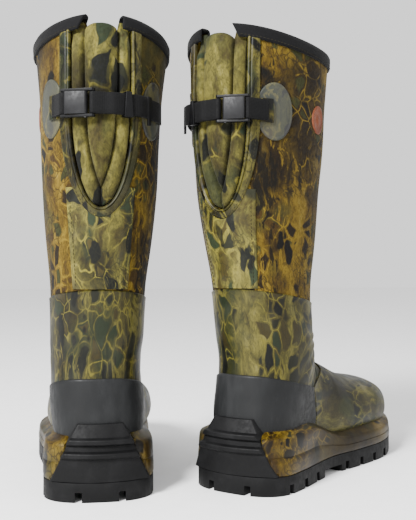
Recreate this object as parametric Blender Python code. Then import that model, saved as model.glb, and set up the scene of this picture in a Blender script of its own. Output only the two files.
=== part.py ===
"""A pair of insulated hunting boots: two mirrored boots, each an assembly of separate pieces.

Metres, +Z up. Every piece of a boot is shaped in that boot's own frame, where the heel's rear
edge is at y = 0, the toe points along +Y, the ground is z = 0 and the inner (medial) side of the
foot is +X. The right boot uses the same shapes with x mirrored. The foot form is one closed
sock-like surface: level rings down the shaft, rings fanned round the front of the ankle, and
upright rings out to the toe. Shells of rubber, insulation and lining are layers of that surface.
"""
import math

import bmesh
import bpy
import numpy as np
from mathutils import Matrix, Vector

MM = 0.001

# ---- Overall sizes -------------------------------------------------------------------------
BOOT_HEIGHT = 440 * MM          # ground to the highest point of the rim
SOLE_LENGTH = 315 * MM          # heel edge to toe edge of the outsole
GAP = 0.3 * MM                  # between pieces that touch
CUT_GAP = 0.5 * MM              # between a moulded piece and the rubber that it is cut round

# ---- How the two boots stand: the left boot points along +Y --------------------------------
RIGHT_BOOT_TURN = math.radians(-42)
RIGHT_HEEL_AT = (120 * MM, 14 * MM)

# ---- Foot form -----------------------------------------------------------------------------
ANKLE_HEIGHT = 148 * MM         # where the level rings end
ANKLE_PIVOT_Y = 150 * MM        # the fanned rings turn about this line, in front of the ankle
TOE_INSET = 13 * MM             # from the toe of the outsole back to the toe of the form
# height as a share of the shaft (1 at the rim, 0 at the ankle), rear y, front y, width,
# shift to the inner side
SHAFT_RINGS = [
    (0.00, 12 * MM, 120 * MM, 89 * MM, -2 * MM),
    (0.15, 4 * MM, 118 * MM, 92 * MM, -1 * MM),
    (0.32, -7 * MM, 124 * MM, 103 * MM, 0 * MM),
    (0.47, -15 * MM, 132 * MM, 110 * MM, 1 * MM),
    (0.62, -20 * MM, 141 * MM, 114 * MM, 1 * MM),
    (0.79, -22 * MM, 147 * MM, 118 * MM, 2 * MM),
    (1.00, -18 * MM, 148 * MM, 129 * MM, 3 * MM),
]
# angle below level, outer radius, inner radius, width, shift to the inner side
ANKLE_RINGS = [
    (0, 138 * MM, 30 * MM, 89 * MM, -2 * MM),
    (12, 137 * MM, 30 * MM, 86 * MM, -3 * MM),
    (24, 149 * MM, 30 * MM, 85 * MM, -3 * MM),
    (34, 166 * MM, 30 * MM, 86 * MM, -2 * MM),
    (42, 175 * MM, 31 * MM, 84 * MM, -1 * MM),
    (50, 159 * MM, 32 * MM, 80 * MM, 0 * MM),
    (60, 141 * MM, 33 * MM, 78 * MM, 0 * MM),
    (75, 126 * MM, 35 * MM, 80 * MM, 0 * MM),
    (90, 122 * MM, 38 * MM, 84 * MM, 0 * MM),
]
# share of the way from the ankle pivot to the toe, top z, bottom z, width, shift to the big toe
FOOT_RINGS = [
    (0.00, 110 * MM, 26 * MM, 84 * MM, 0 * MM),
    (0.20, 98 * MM, 26 * MM, 93 * MM, 1 * MM),
    (0.40, 90 * MM, 26 * MM, 102 * MM, 3 * MM),
    (0.60, 84 * MM, 26 * MM, 106 * MM, 5 * MM),
    (0.80, 79 * MM, 27 * MM, 102 * MM, 7 * MM),
    (1.00, 71 * MM, 28 * MM, 92 * MM, 9 * MM),
]
# share of the sole length, slope of the toe spring from there on
TOE_SPRING = [(0.70, 0.045), (0.86, 0.10)]
TOE_CLOSES_AT = 0.55            # share of the foot from which the toe rounds off
TOE_ROUNDNESS = 2.4
# place along the form, squareness of the sole side, squareness of the instep side
SQUARENESS = [(0.0, 2.0, 2.0), (1.0, 2.1, 2.1), (1.45, 2.5, 2.2), (2.0, 3.2, 2.2), (3.0, 2.8, 2.3)]
RIM_SIDE_DROP = 13 * MM         # the rim at the sides, below its rear
RIM_FRONT_DROP = 10 * MM        # the rim at the front, below its rear
RIM_FADE = [(0.0, 1.0), (0.05, 1.0), (0.40, 0.0), (1.0, 0.0)]
BOOTIE_EDGE_HEIGHT = 183 * MM   # top edge of the rubber foot, at the sides
BOOTIE_EDGE_TILT = 10 * MM      # that edge is so much higher at the rear, and lower in front

# ---- Layers, measured outward from the form --------------------------------------------------
SHAFT_WALL = 5.5 * MM
RUBBER_PROUD = 1.2 * MM         # the rubber foot stands so far outside the shaft
RUBBER_WALL = 2.5 * MM
LINING_GAP = 0.8 * MM
LINING_WALL = 1.8 * MM
GUARD_WALL = 1.4 * MM
VAMP_WALL = 1.2 * MM
PATCH_WALL = 1.3 * MM
SPINE_WALL = 1.1 * MM
FRAME_WALL = 2.0 * MM
BADGE_WALL = 1.1 * MM
FOOTBED_WALL = 3.4 * MM

# ---- Gusset, its frame and the rim ---------------------------------------------------------
BINDING_DEPTH = 13 * MM
BINDING_WALL = 1.3 * MM
RIM_TO_BINDING_TOP = 2.0 * MM   # shaft and lining end so far below the binding's top
GUSSET_HALF_WIDTH = 27 * MM
GUSSET_DEPTH = 172 * MM         # rim to the lowest point of the gusset
GUSSET_ARC = 88 * MM            # height of its rounded lower end
GUSSET_TOP_DROP = 9 * MM        # the middle of the gusset, below the rim
EAR_HALF_GAP = 16.5 * MM        # half the gap between the two ends of the binding
FRAME_BAND = 9 * MM
SPINE_HALF_WIDTH = 25 * MM

# ---- Buckle, strap and keeper --------------------------------------------------------------
STRAP_BELOW_RIM = 82 * MM
STRAP_WIDTH = 19 * MM
STRAP_WALL = 1.4 * MM
STRAP_LIFT = 3.2 * MM           # zero of the strap hardware's own depths, outside the form
BUCKLE_ANGLE = -15              # degrees round the shaft from its rear, inner side positive
KEEPER_ANGLE = 19
TAIL_ANGLE = 36
TAB_CLEAR = 9.6 * MM             # from the gusset's band to the middle of the tab
STRAP_SEWN_ANGLE = 68
PATCH_ANGLE = 52
PATCH_HALF_WIDTH = 20 * MM
PATCH_HALF_HEIGHT = 27 * MM
BADGE_ANGLE = -100
BADGE_RADIUS = 14 * MM
BAR_RADIUS = 1.4 * MM
PIN_RADIUS = 1.0 * MM
PIN_BORE_RADIUS = 1.35 * MM
RAIL_WALL = 2.2 * MM
LEVER_WALL = 2.0 * MM
KEEPER_LENGTH = 8 * MM
KEEPER_WALL = 1.2 * MM
KEEPER_STRAIGHT = 13 * MM       # the strap runs straight so far to each side of the keeper
# places on the buckle: along the strap to the inner side, outward
MEDIAL_BAR = (9.5 * MM, 4.2 * MM)
LATERAL_BAR = (-18.5 * MM, 4.5 * MM)
PIN_AT = (2.5 * MM, 5.2 * MM)
RAIL_INSIDE = STRAP_WIDTH / 2 + 0.7 * MM
RAIL_OUTLINE = [(-20.3, 3.0), (-19.3, 2.0), (10.2, 2.0), (11.2, 3.0), (11.2, 6.0), (9.7, 7.5),
                (-18.8, 7.5), (-20.3, 6.0)]     # mm
LEVER_OUTLINE = [(-15.8, 7.6), (-15.0, 6.7), (-2.0, 6.2), (4.3, 6.2), (4.3, 7.6), (3.2, 8.4),
                 (-4.0, 8.9), (-14.0, 9.4), (-15.8, 9.0)]     # mm
KNUCKLE_WALL = 1.1 * MM
LOWER_RUN = MEDIAL_BAR[1] - BAR_RADIUS - GAP - STRAP_WALL / 2   # middle of the strap's lower layer
UPPER_RUN = LOWER_RUN + STRAP_WALL + 0.6 * MM
TIP_LENGTH = 6 * MM
NUB_DROP = 6 * MM               # the pull nub hangs so far below the strap's end piece
TAB_HALF = (6.5 * MM, 11 * MM)  # half length and half height of the anchor tab
TAB_WALL = 1.6 * MM
LOOP_WALL = 1.2 * MM

# ---- Sole ------------------------------------------------------------------------------------
OUTSOLE_HEIGHT = 17.7 * MM      # black tread, ground to the sidewall
GROOVE_DEPTH = 9 * MM
GROOVE_WIDTH = 6 * MM
ARCH_DEPTH = 7 * MM
ARCH_SPAN = (0.33, 0.44)        # shares of the sole length
CROSS_GROOVES = (0.085, 0.175, 0.265, 0.49, 0.575, 0.66, 0.745, 0.83, 0.915)
GROOVE_SLANT = {"heel": -5.4 * MM, "forefoot": 9 * MM}
LONG_GROOVES_X = (-20 * MM, 20 * MM)
LONG_GROOVE_SPANS = ((-0.01, 0.29), (0.45, 0.90))
# share of the sole length, width to the inner side, width to the outer side
SOLE_ROWS = [
    (0.00, 50 * MM, 52 * MM),
    (0.18, 51 * MM, 53 * MM),
    (0.38, 47 * MM, 51 * MM),
    (0.54, 53 * MM, 60 * MM),
    (0.71, 61 * MM, 65 * MM),
    (0.86, 60 * MM, 57 * MM),
    (1.00, 56 * MM, 44 * MM),
]
HEEL_ROUND = 40 * MM            # the heel end of the outline rounds off over this length
TOE_ROUND = 85 * MM
MIDSOLE_INSET = 8 * MM
MIDSOLE_TOP = 30 * MM
RAND_HEEL_TOP = 53 * MM
RAND_TOE_TOP = 34 * MM
RAND_FLARE = 1.5 * MM           # the sidewall's top edge, inside its lower edge
SHANK_SIZE = (32 * MM, 118 * MM, 1.8 * MM)
SHANK_START = 68 * MM
GUARD_REAR_TOP = 114 * MM
GUARD_FRONT_TOP = 92 * MM
GUARD_FRONT = 97 * MM           # the guard ends here, and the vamp overlay begins
# height, half width, rear y of the heel kick tab
KICK_ROWS = [
    (18.3 * MM, 46 * MM, -1.0 * MM),
    (40.0 * MM, 36 * MM, -2.0 * MM),
    (41.0 * MM, 36 * MM, -6.0 * MM),
    (44.5 * MM, 34 * MM, -6.0 * MM),
    (46.0 * MM, 33 * MM, -0.5 * MM),
    (52.0 * MM, 31 * MM, 0.0 * MM),
    (53.0 * MM, 31 * MM, -4.0 * MM),
    (56.5 * MM, 29 * MM, -4.0 * MM),
    (58.0 * MM, 28 * MM, 1.5 * MM),
    (70.0 * MM, 21 * MM, 5.5 * MM),
]

KICK_BOW = 80 * MM              # radius of the tab round the heel
KICK_FRONT = 24 * MM

# ---- Mesh resolution -------------------------------------------------------------------------
ROUND_STEPS = 16
BEYOND_SIDE = 80 * MM           # cutters reach past the piece that they cut
BELOW_GROUND = -10 * MM
ABOVE_RIM = BOOT_HEIGHT + 20 * MM
REAR_WALL = (-70 * MM, 50 * MM)  # a cutter along y that passes through the rear of the shaft only
ALL_ACROSS = (-100 * MM, 100 * MM)
SHAFT_STEPS = (0.06, 0.17, 0.31, 0.46, 0.61, 0.75)
ANKLE_ANGLES = (0, 15, 29, 40, 49, 60, 75)
FOOT_STEPS = (0.0, 0.27, 0.52, 0.74, 0.89, 0.975)

side = 1                        # +1 while the left boot is made, -1 for the right
boot = None                     # the empty that carries the boot being made


# ==== Curves and the foot form ================================================================
def smooth(rows, place, column=1):
    """The rows' column at a place, on a smooth curve through them."""
    xs = [row[0] for row in rows]
    ys = [row[column] for row in rows]
    place = min(max(place, xs[0]), xs[-1])
    k = max(i for i in range(len(xs) - 1) if xs[i] <= place)

    def slope(i):
        low, high = max(i - 1, 0), min(i + 1, len(xs) - 1)
        return (ys[high] - ys[low]) / (xs[high] - xs[low])

    span = xs[k + 1] - xs[k]
    t = (place - xs[k]) / span
    return ((2 * t**3 - 3 * t**2 + 1) * ys[k] + (t**3 - 2 * t**2 + t) * span * slope(k)
            + (3 * t**2 - 2 * t**3) * ys[k + 1] + (t**3 - t**2) * span * slope(k + 1))


def signed_power(value, power):
    return math.copysign(abs(value) ** power, value)


def round_off(share, roundness):
    """1 at share 0, falling to 0 at share 1 along a rounded end."""
    return (1 - min(max(share, 0.0), 1.0) ** roundness) ** (1 / roundness)


def place_of_height(height):
    """The place along the form of a height on the shaft."""
    return (BOOT_HEIGHT - height) / (BOOT_HEIGHT - ANKLE_HEIGHT)


BOOTIE_EDGE = place_of_height(BOOTIE_EDGE_HEIGHT)
SHAFT_TO_BOOTIE = 0.003         # the shaft ends this share of its length above the rubber's edge
TILT_FADE = [(0.0, 0.0), (0.5, 0.2), (BOOTIE_EDGE, 1.0), (1.0, 0.0)]


def rim_drop(angle):
    """How far the rim lies below its rear, at an angle round the shaft."""
    rearward = math.cos(angle)
    even = (RIM_FRONT_DROP / 2 - RIM_SIDE_DROP)
    return RIM_SIDE_DROP - RIM_FRONT_DROP / 2 * rearward + even * rearward**2


def form_point(place, angle):
    """A point of the form: place 0 to 1 is shaft, to 2 ankle, to 3 foot; angle 0 is the rear."""
    power = 2 / smooth(SQUARENESS, place, 1 if math.cos(angle) > 0 else 2)
    back = signed_power(math.cos(angle), power)
    across = signed_power(math.sin(angle), power)
    if place <= 1:
        share = 1 - place
        rear, front, width, shift = (smooth(SHAFT_RINGS, share, c) for c in (1, 2, 3, 4))
        z = ANKLE_HEIGHT + share * (BOOT_HEIGHT - ANKLE_HEIGHT)
        z -= rim_drop(angle) * smooth(RIM_FADE, place)
        z += BOOTIE_EDGE_TILT * back * smooth(TILT_FADE, place)
        y = (rear + front) / 2 - (front - rear) / 2 * back
        return Vector((shift + width / 2 * across, y, z))
    if place <= 2:
        turn = (place - 1) * 90
        outer, inner, width, shift = (smooth(ANKLE_RINGS, turn, c) for c in (1, 2, 3, 4))
        reach = (outer + inner) / 2 + (outer - inner) / 2 * back
        turn = math.radians(turn)
        return Vector((shift + width / 2 * across, ANKLE_PIVOT_Y - reach * math.cos(turn),
                       ANKLE_HEIGHT - reach * math.sin(turn)))
    share = place - 2
    top, bottom, width, shift = (smooth(FOOT_RINGS, share, c) for c in (1, 2, 3, 4))
    close = round_off((share - TOE_CLOSES_AT) / (1 - TOE_CLOSES_AT), TOE_ROUNDNESS)
    middle = (top + bottom) / 2
    toe = SOLE_LENGTH - TOE_INSET
    return Vector((shift + width / 2 * across * close, ANKLE_PIVOT_Y + share * (toe - ANKLE_PIVOT_Y),
                   middle - (top - bottom) / 2 * back * close))


def layer_point(place, angle, outward):
    """A point so far outside the form, along the form's normal."""
    if place >= 2.999:
        return form_point(3.0, 0.0) + Vector((0, outward, 0))
    step = 0.02
    low, high = max(place - step, 0.0), min(place + step, 2.999)
    along = form_point(high, angle) - form_point(low, angle)
    round_ = form_point(place, angle + step) - form_point(place, angle - step)
    return form_point(place, angle) + along.cross(round_).normalized() * outward


RIM = place_of_height(BOOT_HEIGHT - RIM_TO_BINDING_TOP)
UPPER_PLACES = [RIM, *SHAFT_STEPS, BOOTIE_EDGE]
LOWER_PLACES = [BOOTIE_EDGE, *(1 + a / 90 for a in ANKLE_ANGLES), *(2 + f for f in FOOT_STEPS), 3.0]
ALL_PLACES = UPPER_PLACES + LOWER_PLACES[1:]
FULL_TURN = [2 * math.pi * i / ROUND_STEPS for i in range(ROUND_STEPS)]


def ring_point(place, angle, outward):
    """A layer's point on the straight run between two of the form's rings."""
    if place <= ALL_PLACES[0] or place >= ALL_PLACES[-1] or place in ALL_PLACES:
        return layer_point(place, angle, outward)
    high = next(i for i, ring in enumerate(ALL_PLACES) if ring > place)
    start, end = ALL_PLACES[high - 1], ALL_PLACES[high]
    share = (place - start) / (end - start)
    return layer_point(start, angle, outward).lerp(layer_point(end, angle, outward), share)


def facet_point(place, angle, outward):
    """A point on the flat between two of the form's columns, where the layers really lie."""
    step = 2 * math.pi / ROUND_STEPS
    column = math.floor(angle / step)
    share = angle / step - column
    low, high = (ring_point(place, c * step, outward) for c in (column, column + 1))
    return low.lerp(high, share)


def columns_between(first, last):
    """The angles of the form's columns from one number to another; column 0 is the rear."""
    return [2 * math.pi * i / ROUND_STEPS for i in range(first, last + 1)]


# ==== Mesh helpers ============================================================================
def spring_toe(bm):
    """Bend everything up towards the toe, along creases across the ball of the foot."""
    slope_before = 0.0
    for share, slope in TOE_SPRING:
        crease = share * SOLE_LENGTH
        geometry = [*bm.verts, *bm.edges, *bm.faces]
        bmesh.ops.bisect_plane(bm, geom=geometry, dist=1e-7, plane_co=(0, crease, 0), plane_no=(0, 1, 0))
        for vert in bm.verts:
            vert.co.z += max(vert.co.y - crease, 0.0) * (slope - slope_before)
        slope_before = slope


def finish_mesh(name, bm, at=(0, 0, 0)):
    """Turn a bmesh in the boot's frame into an object whose origin is at a point."""
    bmesh.ops.connect_verts_nonplanar(bm, angle_limit=0.0005, faces=bm.faces)
    spring_toe(bm)
    if side < 0:
        bmesh.ops.scale(bm, vec=(-1, 1, 1), verts=bm.verts)
    bmesh.ops.recalc_face_normals(bm, faces=bm.faces)
    if bm.calc_volume(signed=True) < 0:
        bmesh.ops.reverse_faces(bm, faces=bm.faces)
    origin = Vector((side * at[0], at[1], at[2]))
    bmesh.ops.translate(bm, vec=-origin, verts=bm.verts)
    mesh = bpy.data.meshes.new(name)
    bm.to_mesh(mesh)
    bm.free()
    obj = bpy.data.objects.new(name, mesh)
    bpy.context.collection.objects.link(obj)
    obj.location = origin
    obj.parent = boot
    return obj


def solid(name, points, faces, at=(0, 0, 0)):
    bm = bmesh.new()
    verts = [bm.verts.new(p) for p in points]
    for face in faces:
        bm.faces.new([verts[i] for i in face])
    return finish_mesh(name, bm, at)


def split_quad(a, b, c, d):
    """Two triangles, cut the same way in every layer, so that layers stay parallel."""
    return [(a, b, c), (a, c, d)]


def shell(name, places, angles, outer, inner):
    """A closed layer of the form between two depths; angles go all round or part of the way."""
    wrap = len(angles) == ROUND_STEPS
    tip = places[-1] >= 3.0
    rows = places[:-1] if tip else places
    count = len(angles)
    points = [ring_point(p, a, depth) for depth in (outer, inner) for p in rows for a in angles]
    half = len(rows) * count
    faces = []
    columns = range(count if wrap else count - 1)
    for r in range(len(rows) - 1):
        for c in columns:
            d = (c + 1) % count
            for face in split_quad(r * count + c, r * count + d, (r + 1) * count + d, (r + 1) * count + c):
                faces += [face, tuple(half + i for i in reversed(face))]
    ends = [0] if tip else [0, len(rows) - 1]
    for r in ends:
        for c in columns:
            a, b = r * count + c, r * count + (c + 1) % count
            faces.append((a, b, half + b, half + a))
    if tip:
        points += [layer_point(3.0, 0.0, outer), layer_point(3.0, 0.0, inner)]
        last = (len(rows) - 1) * count
        for c in columns:
            a, b = last + c, last + (c + 1) % count
            faces += [(a, b, 2 * half), (half + b, half + a, 2 * half + 1)]
    if not wrap:
        for c in (0, count - 1):
            for r in range(len(rows) - 1):
                a, b = r * count + c, (r + 1) * count + c
                faces.append((a, b, half + b, half + a))
    return solid(name, points, faces)


def loft(name, loops, at=(0, 0, 0)):
    """A solid through a stack of closed loops that have the same number of points."""
    count = len(loops[0])
    points = [p for loop in loops for p in loop]
    faces = [tuple(range(count)), tuple((len(loops) - 1) * count + i for i in range(count))]
    for r in range(len(loops) - 1):
        for c in range(count):
            d = (c + 1) % count
            faces.append((r * count + c, r * count + d, (r + 1) * count + d, (r + 1) * count + c))
    return solid(name, points, faces, at)


def prism(name, outline, start, end, axis="z", at=(0, 0, 0)):
    """An outline swept from start to end. Axis z takes (x, y) points, axis y takes (x, z)."""
    def lift(p, t):
        return (p[0], p[1], t) if axis == "z" else (p[0], t, p[1]) if axis == "y" else (t, p[0], p[1])
    return loft(name, [[lift(p, t) for p in outline] for t in (start, end)], at)


def box(name, low, high, at=(0, 0, 0)):
    (x0, y0, z0), (x1, y1, z1) = low, high
    return prism(name, [(x0, y0), (x1, y0), (x1, y1), (x0, y1)], z0, z1, "z", at)


def carve(target, tool, operation, solver="EXACT"):
    """Cut, keep or join a tool into a piece, and take the tool away."""
    modifier = target.modifiers.new(operation.lower(), "BOOLEAN")
    modifier.operation = operation
    modifier.object = tool
    modifier.solver = solver
    bpy.context.view_layer.update()
    depsgraph = bpy.context.evaluated_depsgraph_get()
    mesh = bpy.data.meshes.new_from_object(target.evaluated_get(depsgraph))
    target.modifiers.clear()
    old = target.data
    target.data = mesh
    bpy.data.meshes.remove(old)
    mesh.name = target.name
    bpy.data.objects.remove(tool)
    return target


# ==== Outlines ================================================================================
def arc(centre, radius, start, end, steps):
    angles = [math.radians(start + (end - start) * i / steps) for i in range(steps + 1)]
    return [(centre[0] + radius * math.cos(a), centre[1] + radius * math.sin(a)) for a in angles]


def sole_outline(inset=0.0, steps=15):
    """The sole's outline, from the heel round the inner side to the toe and back."""
    length = SOLE_LENGTH - 2 * inset
    halves = []
    for column in (1, 2):
        half = []
        for i in range(1, steps):
            y = length * (1 - math.cos(math.pi * i / steps)) / 2
            width = smooth(SOLE_ROWS, y / length, column) - inset
            width *= round_off(1 - y / HEEL_ROUND, 2.6) * round_off(1 - (length - y) / TOE_ROUND, 2.3)
            half.append((width, inset + y))
        halves.append(half)
    inner, outer = halves
    return ([(0, inset)] + inner + [(0, SOLE_LENGTH - inset)]
            + [(-x, y) for x, y in reversed(outer)])


def gusset_outline(half_width, depth, top):
    """A U that is open at the rim, as (x, z) points; depth is measured from the rim."""
    bottom = BOOT_HEIGHT - depth
    height = GUSSET_ARC + depth - GUSSET_DEPTH
    curve = [(half_width * math.cos(math.radians(t)), bottom + height - height * math.sin(math.radians(t)))
             for t in range(0, 181, 15)]
    return [(-half_width, top), (half_width, top)] + curve


def shaft_places(top, bottom):
    """The form's own rings between two heights, with a ring at each end."""
    top, bottom = place_of_height(top), place_of_height(bottom)
    return [top, *(p for p in ALL_PLACES if top < p < bottom), bottom]


# ==== Upper: lining, shaft, insulation, rubber ================================================
def make_shells(prefix):
    places = UPPER_PLACES[:-1] + [BOOTIE_EDGE - SHAFT_TO_BOOTIE]
    shaft = shell(prefix + "shaft", places, FULL_TURN, 0.0, -SHAFT_WALL)
    notch = gusset_outline(GUSSET_HALF_WIDTH, GUSSET_DEPTH, ABOVE_RIM)
    carve(shaft, prism("notch", notch, *REAR_WALL, "y"), "DIFFERENCE")
    shell(prefix + "rubber_bootie", LOWER_PLACES, FULL_TURN, RUBBER_PROUD, RUBBER_PROUD - RUBBER_WALL)
    start = RUBBER_PROUD - RUBBER_WALL - GAP
    shell(prefix + "inner_bootie", LOWER_PLACES, FULL_TURN, start, -SHAFT_WALL)
    start = -SHAFT_WALL - LINING_GAP
    shell(prefix + "lining", UPPER_PLACES[:-1] + LOWER_PLACES, FULL_TURN, start, start - LINING_WALL)
    start -= LINING_WALL + GAP
    shell(prefix + "insole", LOWER_PLACES[5:-2], columns_between(-2, 2), start, start - FOOTBED_WALL)


def make_gusset(prefix):
    places = shaft_places(BOOT_HEIGHT - RIM_TO_BINDING_TOP, BOOT_HEIGHT - GUSSET_DEPTH - 12 * MM)
    angles = columns_between(-3, 3)
    gusset = shell(prefix + "gusset", places, angles, 0.0, -SHAFT_WALL)
    outline = gusset_outline(GUSSET_HALF_WIDTH - GAP, GUSSET_DEPTH - GAP, ABOVE_RIM)
    middle_top = BOOT_HEIGHT - GUSSET_TOP_DROP
    half = EAR_HALF_GAP + GAP
    outline[1:1] = [(-half, ABOVE_RIM), (-half, middle_top), (half, middle_top),
                    (half, ABOVE_RIM)]
    carve(gusset, prism("keep", outline, *REAR_WALL, "y"), "INTERSECT")

    places = shaft_places(BOOT_HEIGHT - BINDING_DEPTH - GAP, BOOT_HEIGHT - GUSSET_DEPTH - 26 * MM)
    frame = shell(prefix + "gusset_frame", places, angles, GAP + FRAME_WALL, GAP)
    outline = gusset_outline(GUSSET_HALF_WIDTH + FRAME_BAND, GUSSET_DEPTH + FRAME_BAND, ABOVE_RIM)
    carve(frame, prism("keep", outline, *REAR_WALL, "y"), "INTERSECT")
    outline = gusset_outline(GUSSET_HALF_WIDTH + GAP, GUSSET_DEPTH + GAP, ABOVE_RIM)
    carve(frame, prism("cut", outline, *REAR_WALL, "y"), "DIFFERENCE")

    spine_top = BOOT_HEIGHT - GUSSET_DEPTH + 18 * MM
    places = shaft_places(spine_top + 5 * MM, BOOTIE_EDGE_HEIGHT - 2 * MM)
    spine = shell(prefix + "rear_spine", places, angles, GAP + SPINE_WALL, GAP)
    bottom = BOOTIE_EDGE_HEIGHT + BOOTIE_EDGE_TILT + 1.5 * MM
    outline = [(-SPINE_HALF_WIDTH, bottom), (SPINE_HALF_WIDTH, bottom),
               (SPINE_HALF_WIDTH + 6 * MM, spine_top), (-SPINE_HALF_WIDTH - 6 * MM, spine_top)]
    carve(spine, prism("keep", outline, *REAR_WALL, "y"), "INTERSECT")
    reach = FRAME_BAND + GAP
    outline = gusset_outline(GUSSET_HALF_WIDTH + reach, GUSSET_DEPTH + reach, BOOT_HEIGHT)
    carve(spine, prism("cut", outline, *REAR_WALL, "y"), "DIFFERENCE")


def make_binding(prefix):
    """A U-shaped tape over the rim, open where the gusset rises between its ends."""
    start = math.degrees(math.asin(EAR_HALF_GAP / (SHAFT_RINGS[-1][3] / 2)))
    inner = -SHAFT_WALL - LINING_GAP - LINING_WALL - GAP
    outer = GAP + BINDING_WALL
    profile = [(outer, BINDING_DEPTH), (outer, 3 * MM), (-1 * MM, 0), (inner + 1 * MM, 0),
               (inner - BINDING_WALL, 3 * MM), (inner - BINDING_WALL, BINDING_DEPTH),
               (inner, BINDING_DEPTH), (inner, RIM_TO_BINDING_TOP - GAP),
               (GAP, RIM_TO_BINDING_TOP - GAP), (GAP, BINDING_DEPTH)]
    loops = []
    for angle in [math.radians(start), *FULL_TURN[1:], math.radians(360 - start)]:
        loops.append([facet_point(place_of_height(BOOT_HEIGHT - drop), angle, outward)
                      for outward, drop in profile])
    loft(prefix + "top_binding", loops)


def radial_prism(angle, outline, height):
    """An outline (across, up) swept outward through the shaft wall at an angle and a height."""
    centre, across, outward = shaft_axes(angle, height)
    loops = []
    for depth in (-20 * MM, 20 * MM):
        loops.append([centre + across * p[0] + outward * depth + Vector((0, 0, p[1])) for p in outline])
    return loft("keep", loops)


def shaft_axes(angle, height, lift=0.0):
    """A point on the shaft, the level direction to the inner side along it, and outward."""
    place, angle = place_of_height(height), math.radians(angle)
    point = layer_point(place, angle, lift)
    outward = layer_point(place, angle, 0.01) - layer_point(place, angle, 0.0)
    outward = Vector((outward.x, outward.y, 0)).normalized()
    across = Vector((-outward.y, outward.x, 0))
    return Vector((point.x, point.y, height)), across, outward


def ellipse(half_width, half_height, steps):
    turns = [2 * math.pi * i / steps for i in range(steps)]
    return [(half_width * math.cos(t), half_height * math.sin(t)) for t in turns]


def make_patches(prefix):
    strap_height = BOOT_HEIGHT - STRAP_BELOW_RIM
    places = shaft_places(strap_height + PATCH_HALF_HEIGHT + 4 * MM,
                          strap_height - PATCH_HALF_HEIGHT - 4 * MM)
    oval = ellipse(PATCH_HALF_WIDTH, PATCH_HALF_HEIGHT, 20)
    for name, sign in (("medial_patch", 1), ("lateral_patch", -1)):
        angles = columns_between(1, 4) if sign > 0 else columns_between(-4, -1)
        patch = shell(prefix + name, places, angles, GAP + PATCH_WALL, GAP)
        carve(patch, radial_prism(sign * PATCH_ANGLE, oval, strap_height), "INTERSECT")
        reach = FRAME_BAND + GAP
        outline = gusset_outline(GUSSET_HALF_WIDTH + reach, GUSSET_DEPTH + reach, BOOT_HEIGHT)
        carve(patch, prism("cut", outline, *REAR_WALL, "y"), "DIFFERENCE")
    places = shaft_places(strap_height + BADGE_RADIUS + 3 * MM, strap_height - BADGE_RADIUS - 3 * MM)
    badge = shell(prefix + "badge", places, columns_between(-6, -3), GAP + BADGE_WALL, GAP)
    disc = ellipse(BADGE_RADIUS, BADGE_RADIUS, 16)
    carve(badge, radial_prism(BADGE_ANGLE, disc, strap_height), "INTERSECT")


# ==== Strap, buckle, keeper ===================================================================
class Station:
    """A level frame on the shaft: t runs to the inner side, n outward, z is height."""

    def __init__(self, angle):
        self.height = BOOT_HEIGHT - STRAP_BELOW_RIM
        self.origin, self.across, self.outward = shaft_axes(angle, self.height, STRAP_LIFT)

    def at(self, t, n, z=0.0):
        point = self.origin + self.across * t + self.outward * n
        return Vector((point.x, point.y, self.height + z))

    def flat(self, t, n):
        point = self.at(t, n)
        return (point.x, point.y)

    def bearing(self, start, point):
        """The direction in degrees from a place in this frame (t, n) to an (x, y) point."""
        away = Vector((*point, self.height)) - self.at(*start)
        return math.degrees(math.atan2(away.dot(self.outward), away.dot(self.across))) % 360


def ribbon(name, path, wall, half_width, height):
    """A strip of webbing on edge: a level path with a thickness, extruded up and down."""
    path = [Vector(p) for p in path]
    left, right = [], []
    for i, point in enumerate(path):
        before = (point - path[max(i - 1, 0)]).normalized()
        after = (path[min(i + 1, len(path) - 1)] - point).normalized()
        along = (before + after).normalized()
        normal = Vector((-along.y, along.x))
        reach = wall / 2 / max(normal.dot(Vector((-after.y, after.x))) if after.length else 1.0, 0.5)
        left.append(point + normal * reach)
        right.append(point - normal * reach)
    return prism(name, left + right[::-1], height - half_width, height + half_width)


def station_prism(name, station, outline, low, high, at=(0, 0, 0)):
    return prism(name, [station.flat(t, n) for t, n in outline],
                 station.height + low, station.height + high, "z", at)


def make_buckle(prefix):
    buckle = Station(BUCKLE_ANGLE)
    rail = [(t * MM, n * MM) for t, n in RAIL_OUTLINE]
    top = RAIL_INSIDE + RAIL_WALL
    frame = station_prism(prefix + "buckle_frame", buckle, rail, RAIL_INSIDE, top)
    lower = station_prism("rail", buckle, rail, -top, -RAIL_INSIDE)
    carve(frame, lower, "UNION")
    for place, radius in ((MEDIAL_BAR, BAR_RADIUS), (LATERAL_BAR, BAR_RADIUS + 0.2 * MM)):
        bar = arc(place, radius, 0, 330, 11)
        reach = RAIL_INSIDE + RAIL_WALL / 2
        carve(frame, station_prism("bar", buckle, bar, -reach, reach), "UNION")
    bore = arc(PIN_AT, PIN_BORE_RADIUS, 0, 330, 11)
    carve(frame, station_prism("bore", buckle, bore, -2 * top, 2 * top), "DIFFERENCE")

    pin = arc(PIN_AT, PIN_RADIUS, 0, 330, 11)
    hinge = tuple(buckle.at(*PIN_AT))
    station_prism(prefix + "buckle_pin", buckle, pin, -top - 0.5 * MM, top + 0.5 * MM, hinge)

    half = RAIL_INSIDE - GAP
    plate = [(t * MM, n * MM) for t, n in LEVER_OUTLINE]
    lever = station_prism(prefix + "buckle_lever", buckle, plate, -half, half, hinge)
    knuckle = arc(PIN_AT, PIN_BORE_RADIUS + KNUCKLE_WALL, 0, 330, 11)
    carve(lever, station_prism("knuckle", buckle, knuckle, -half, half), "UNION")
    carve(lever, station_prism("bore", buckle, bore, -2 * top, 2 * top), "DIFFERENCE")


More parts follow.
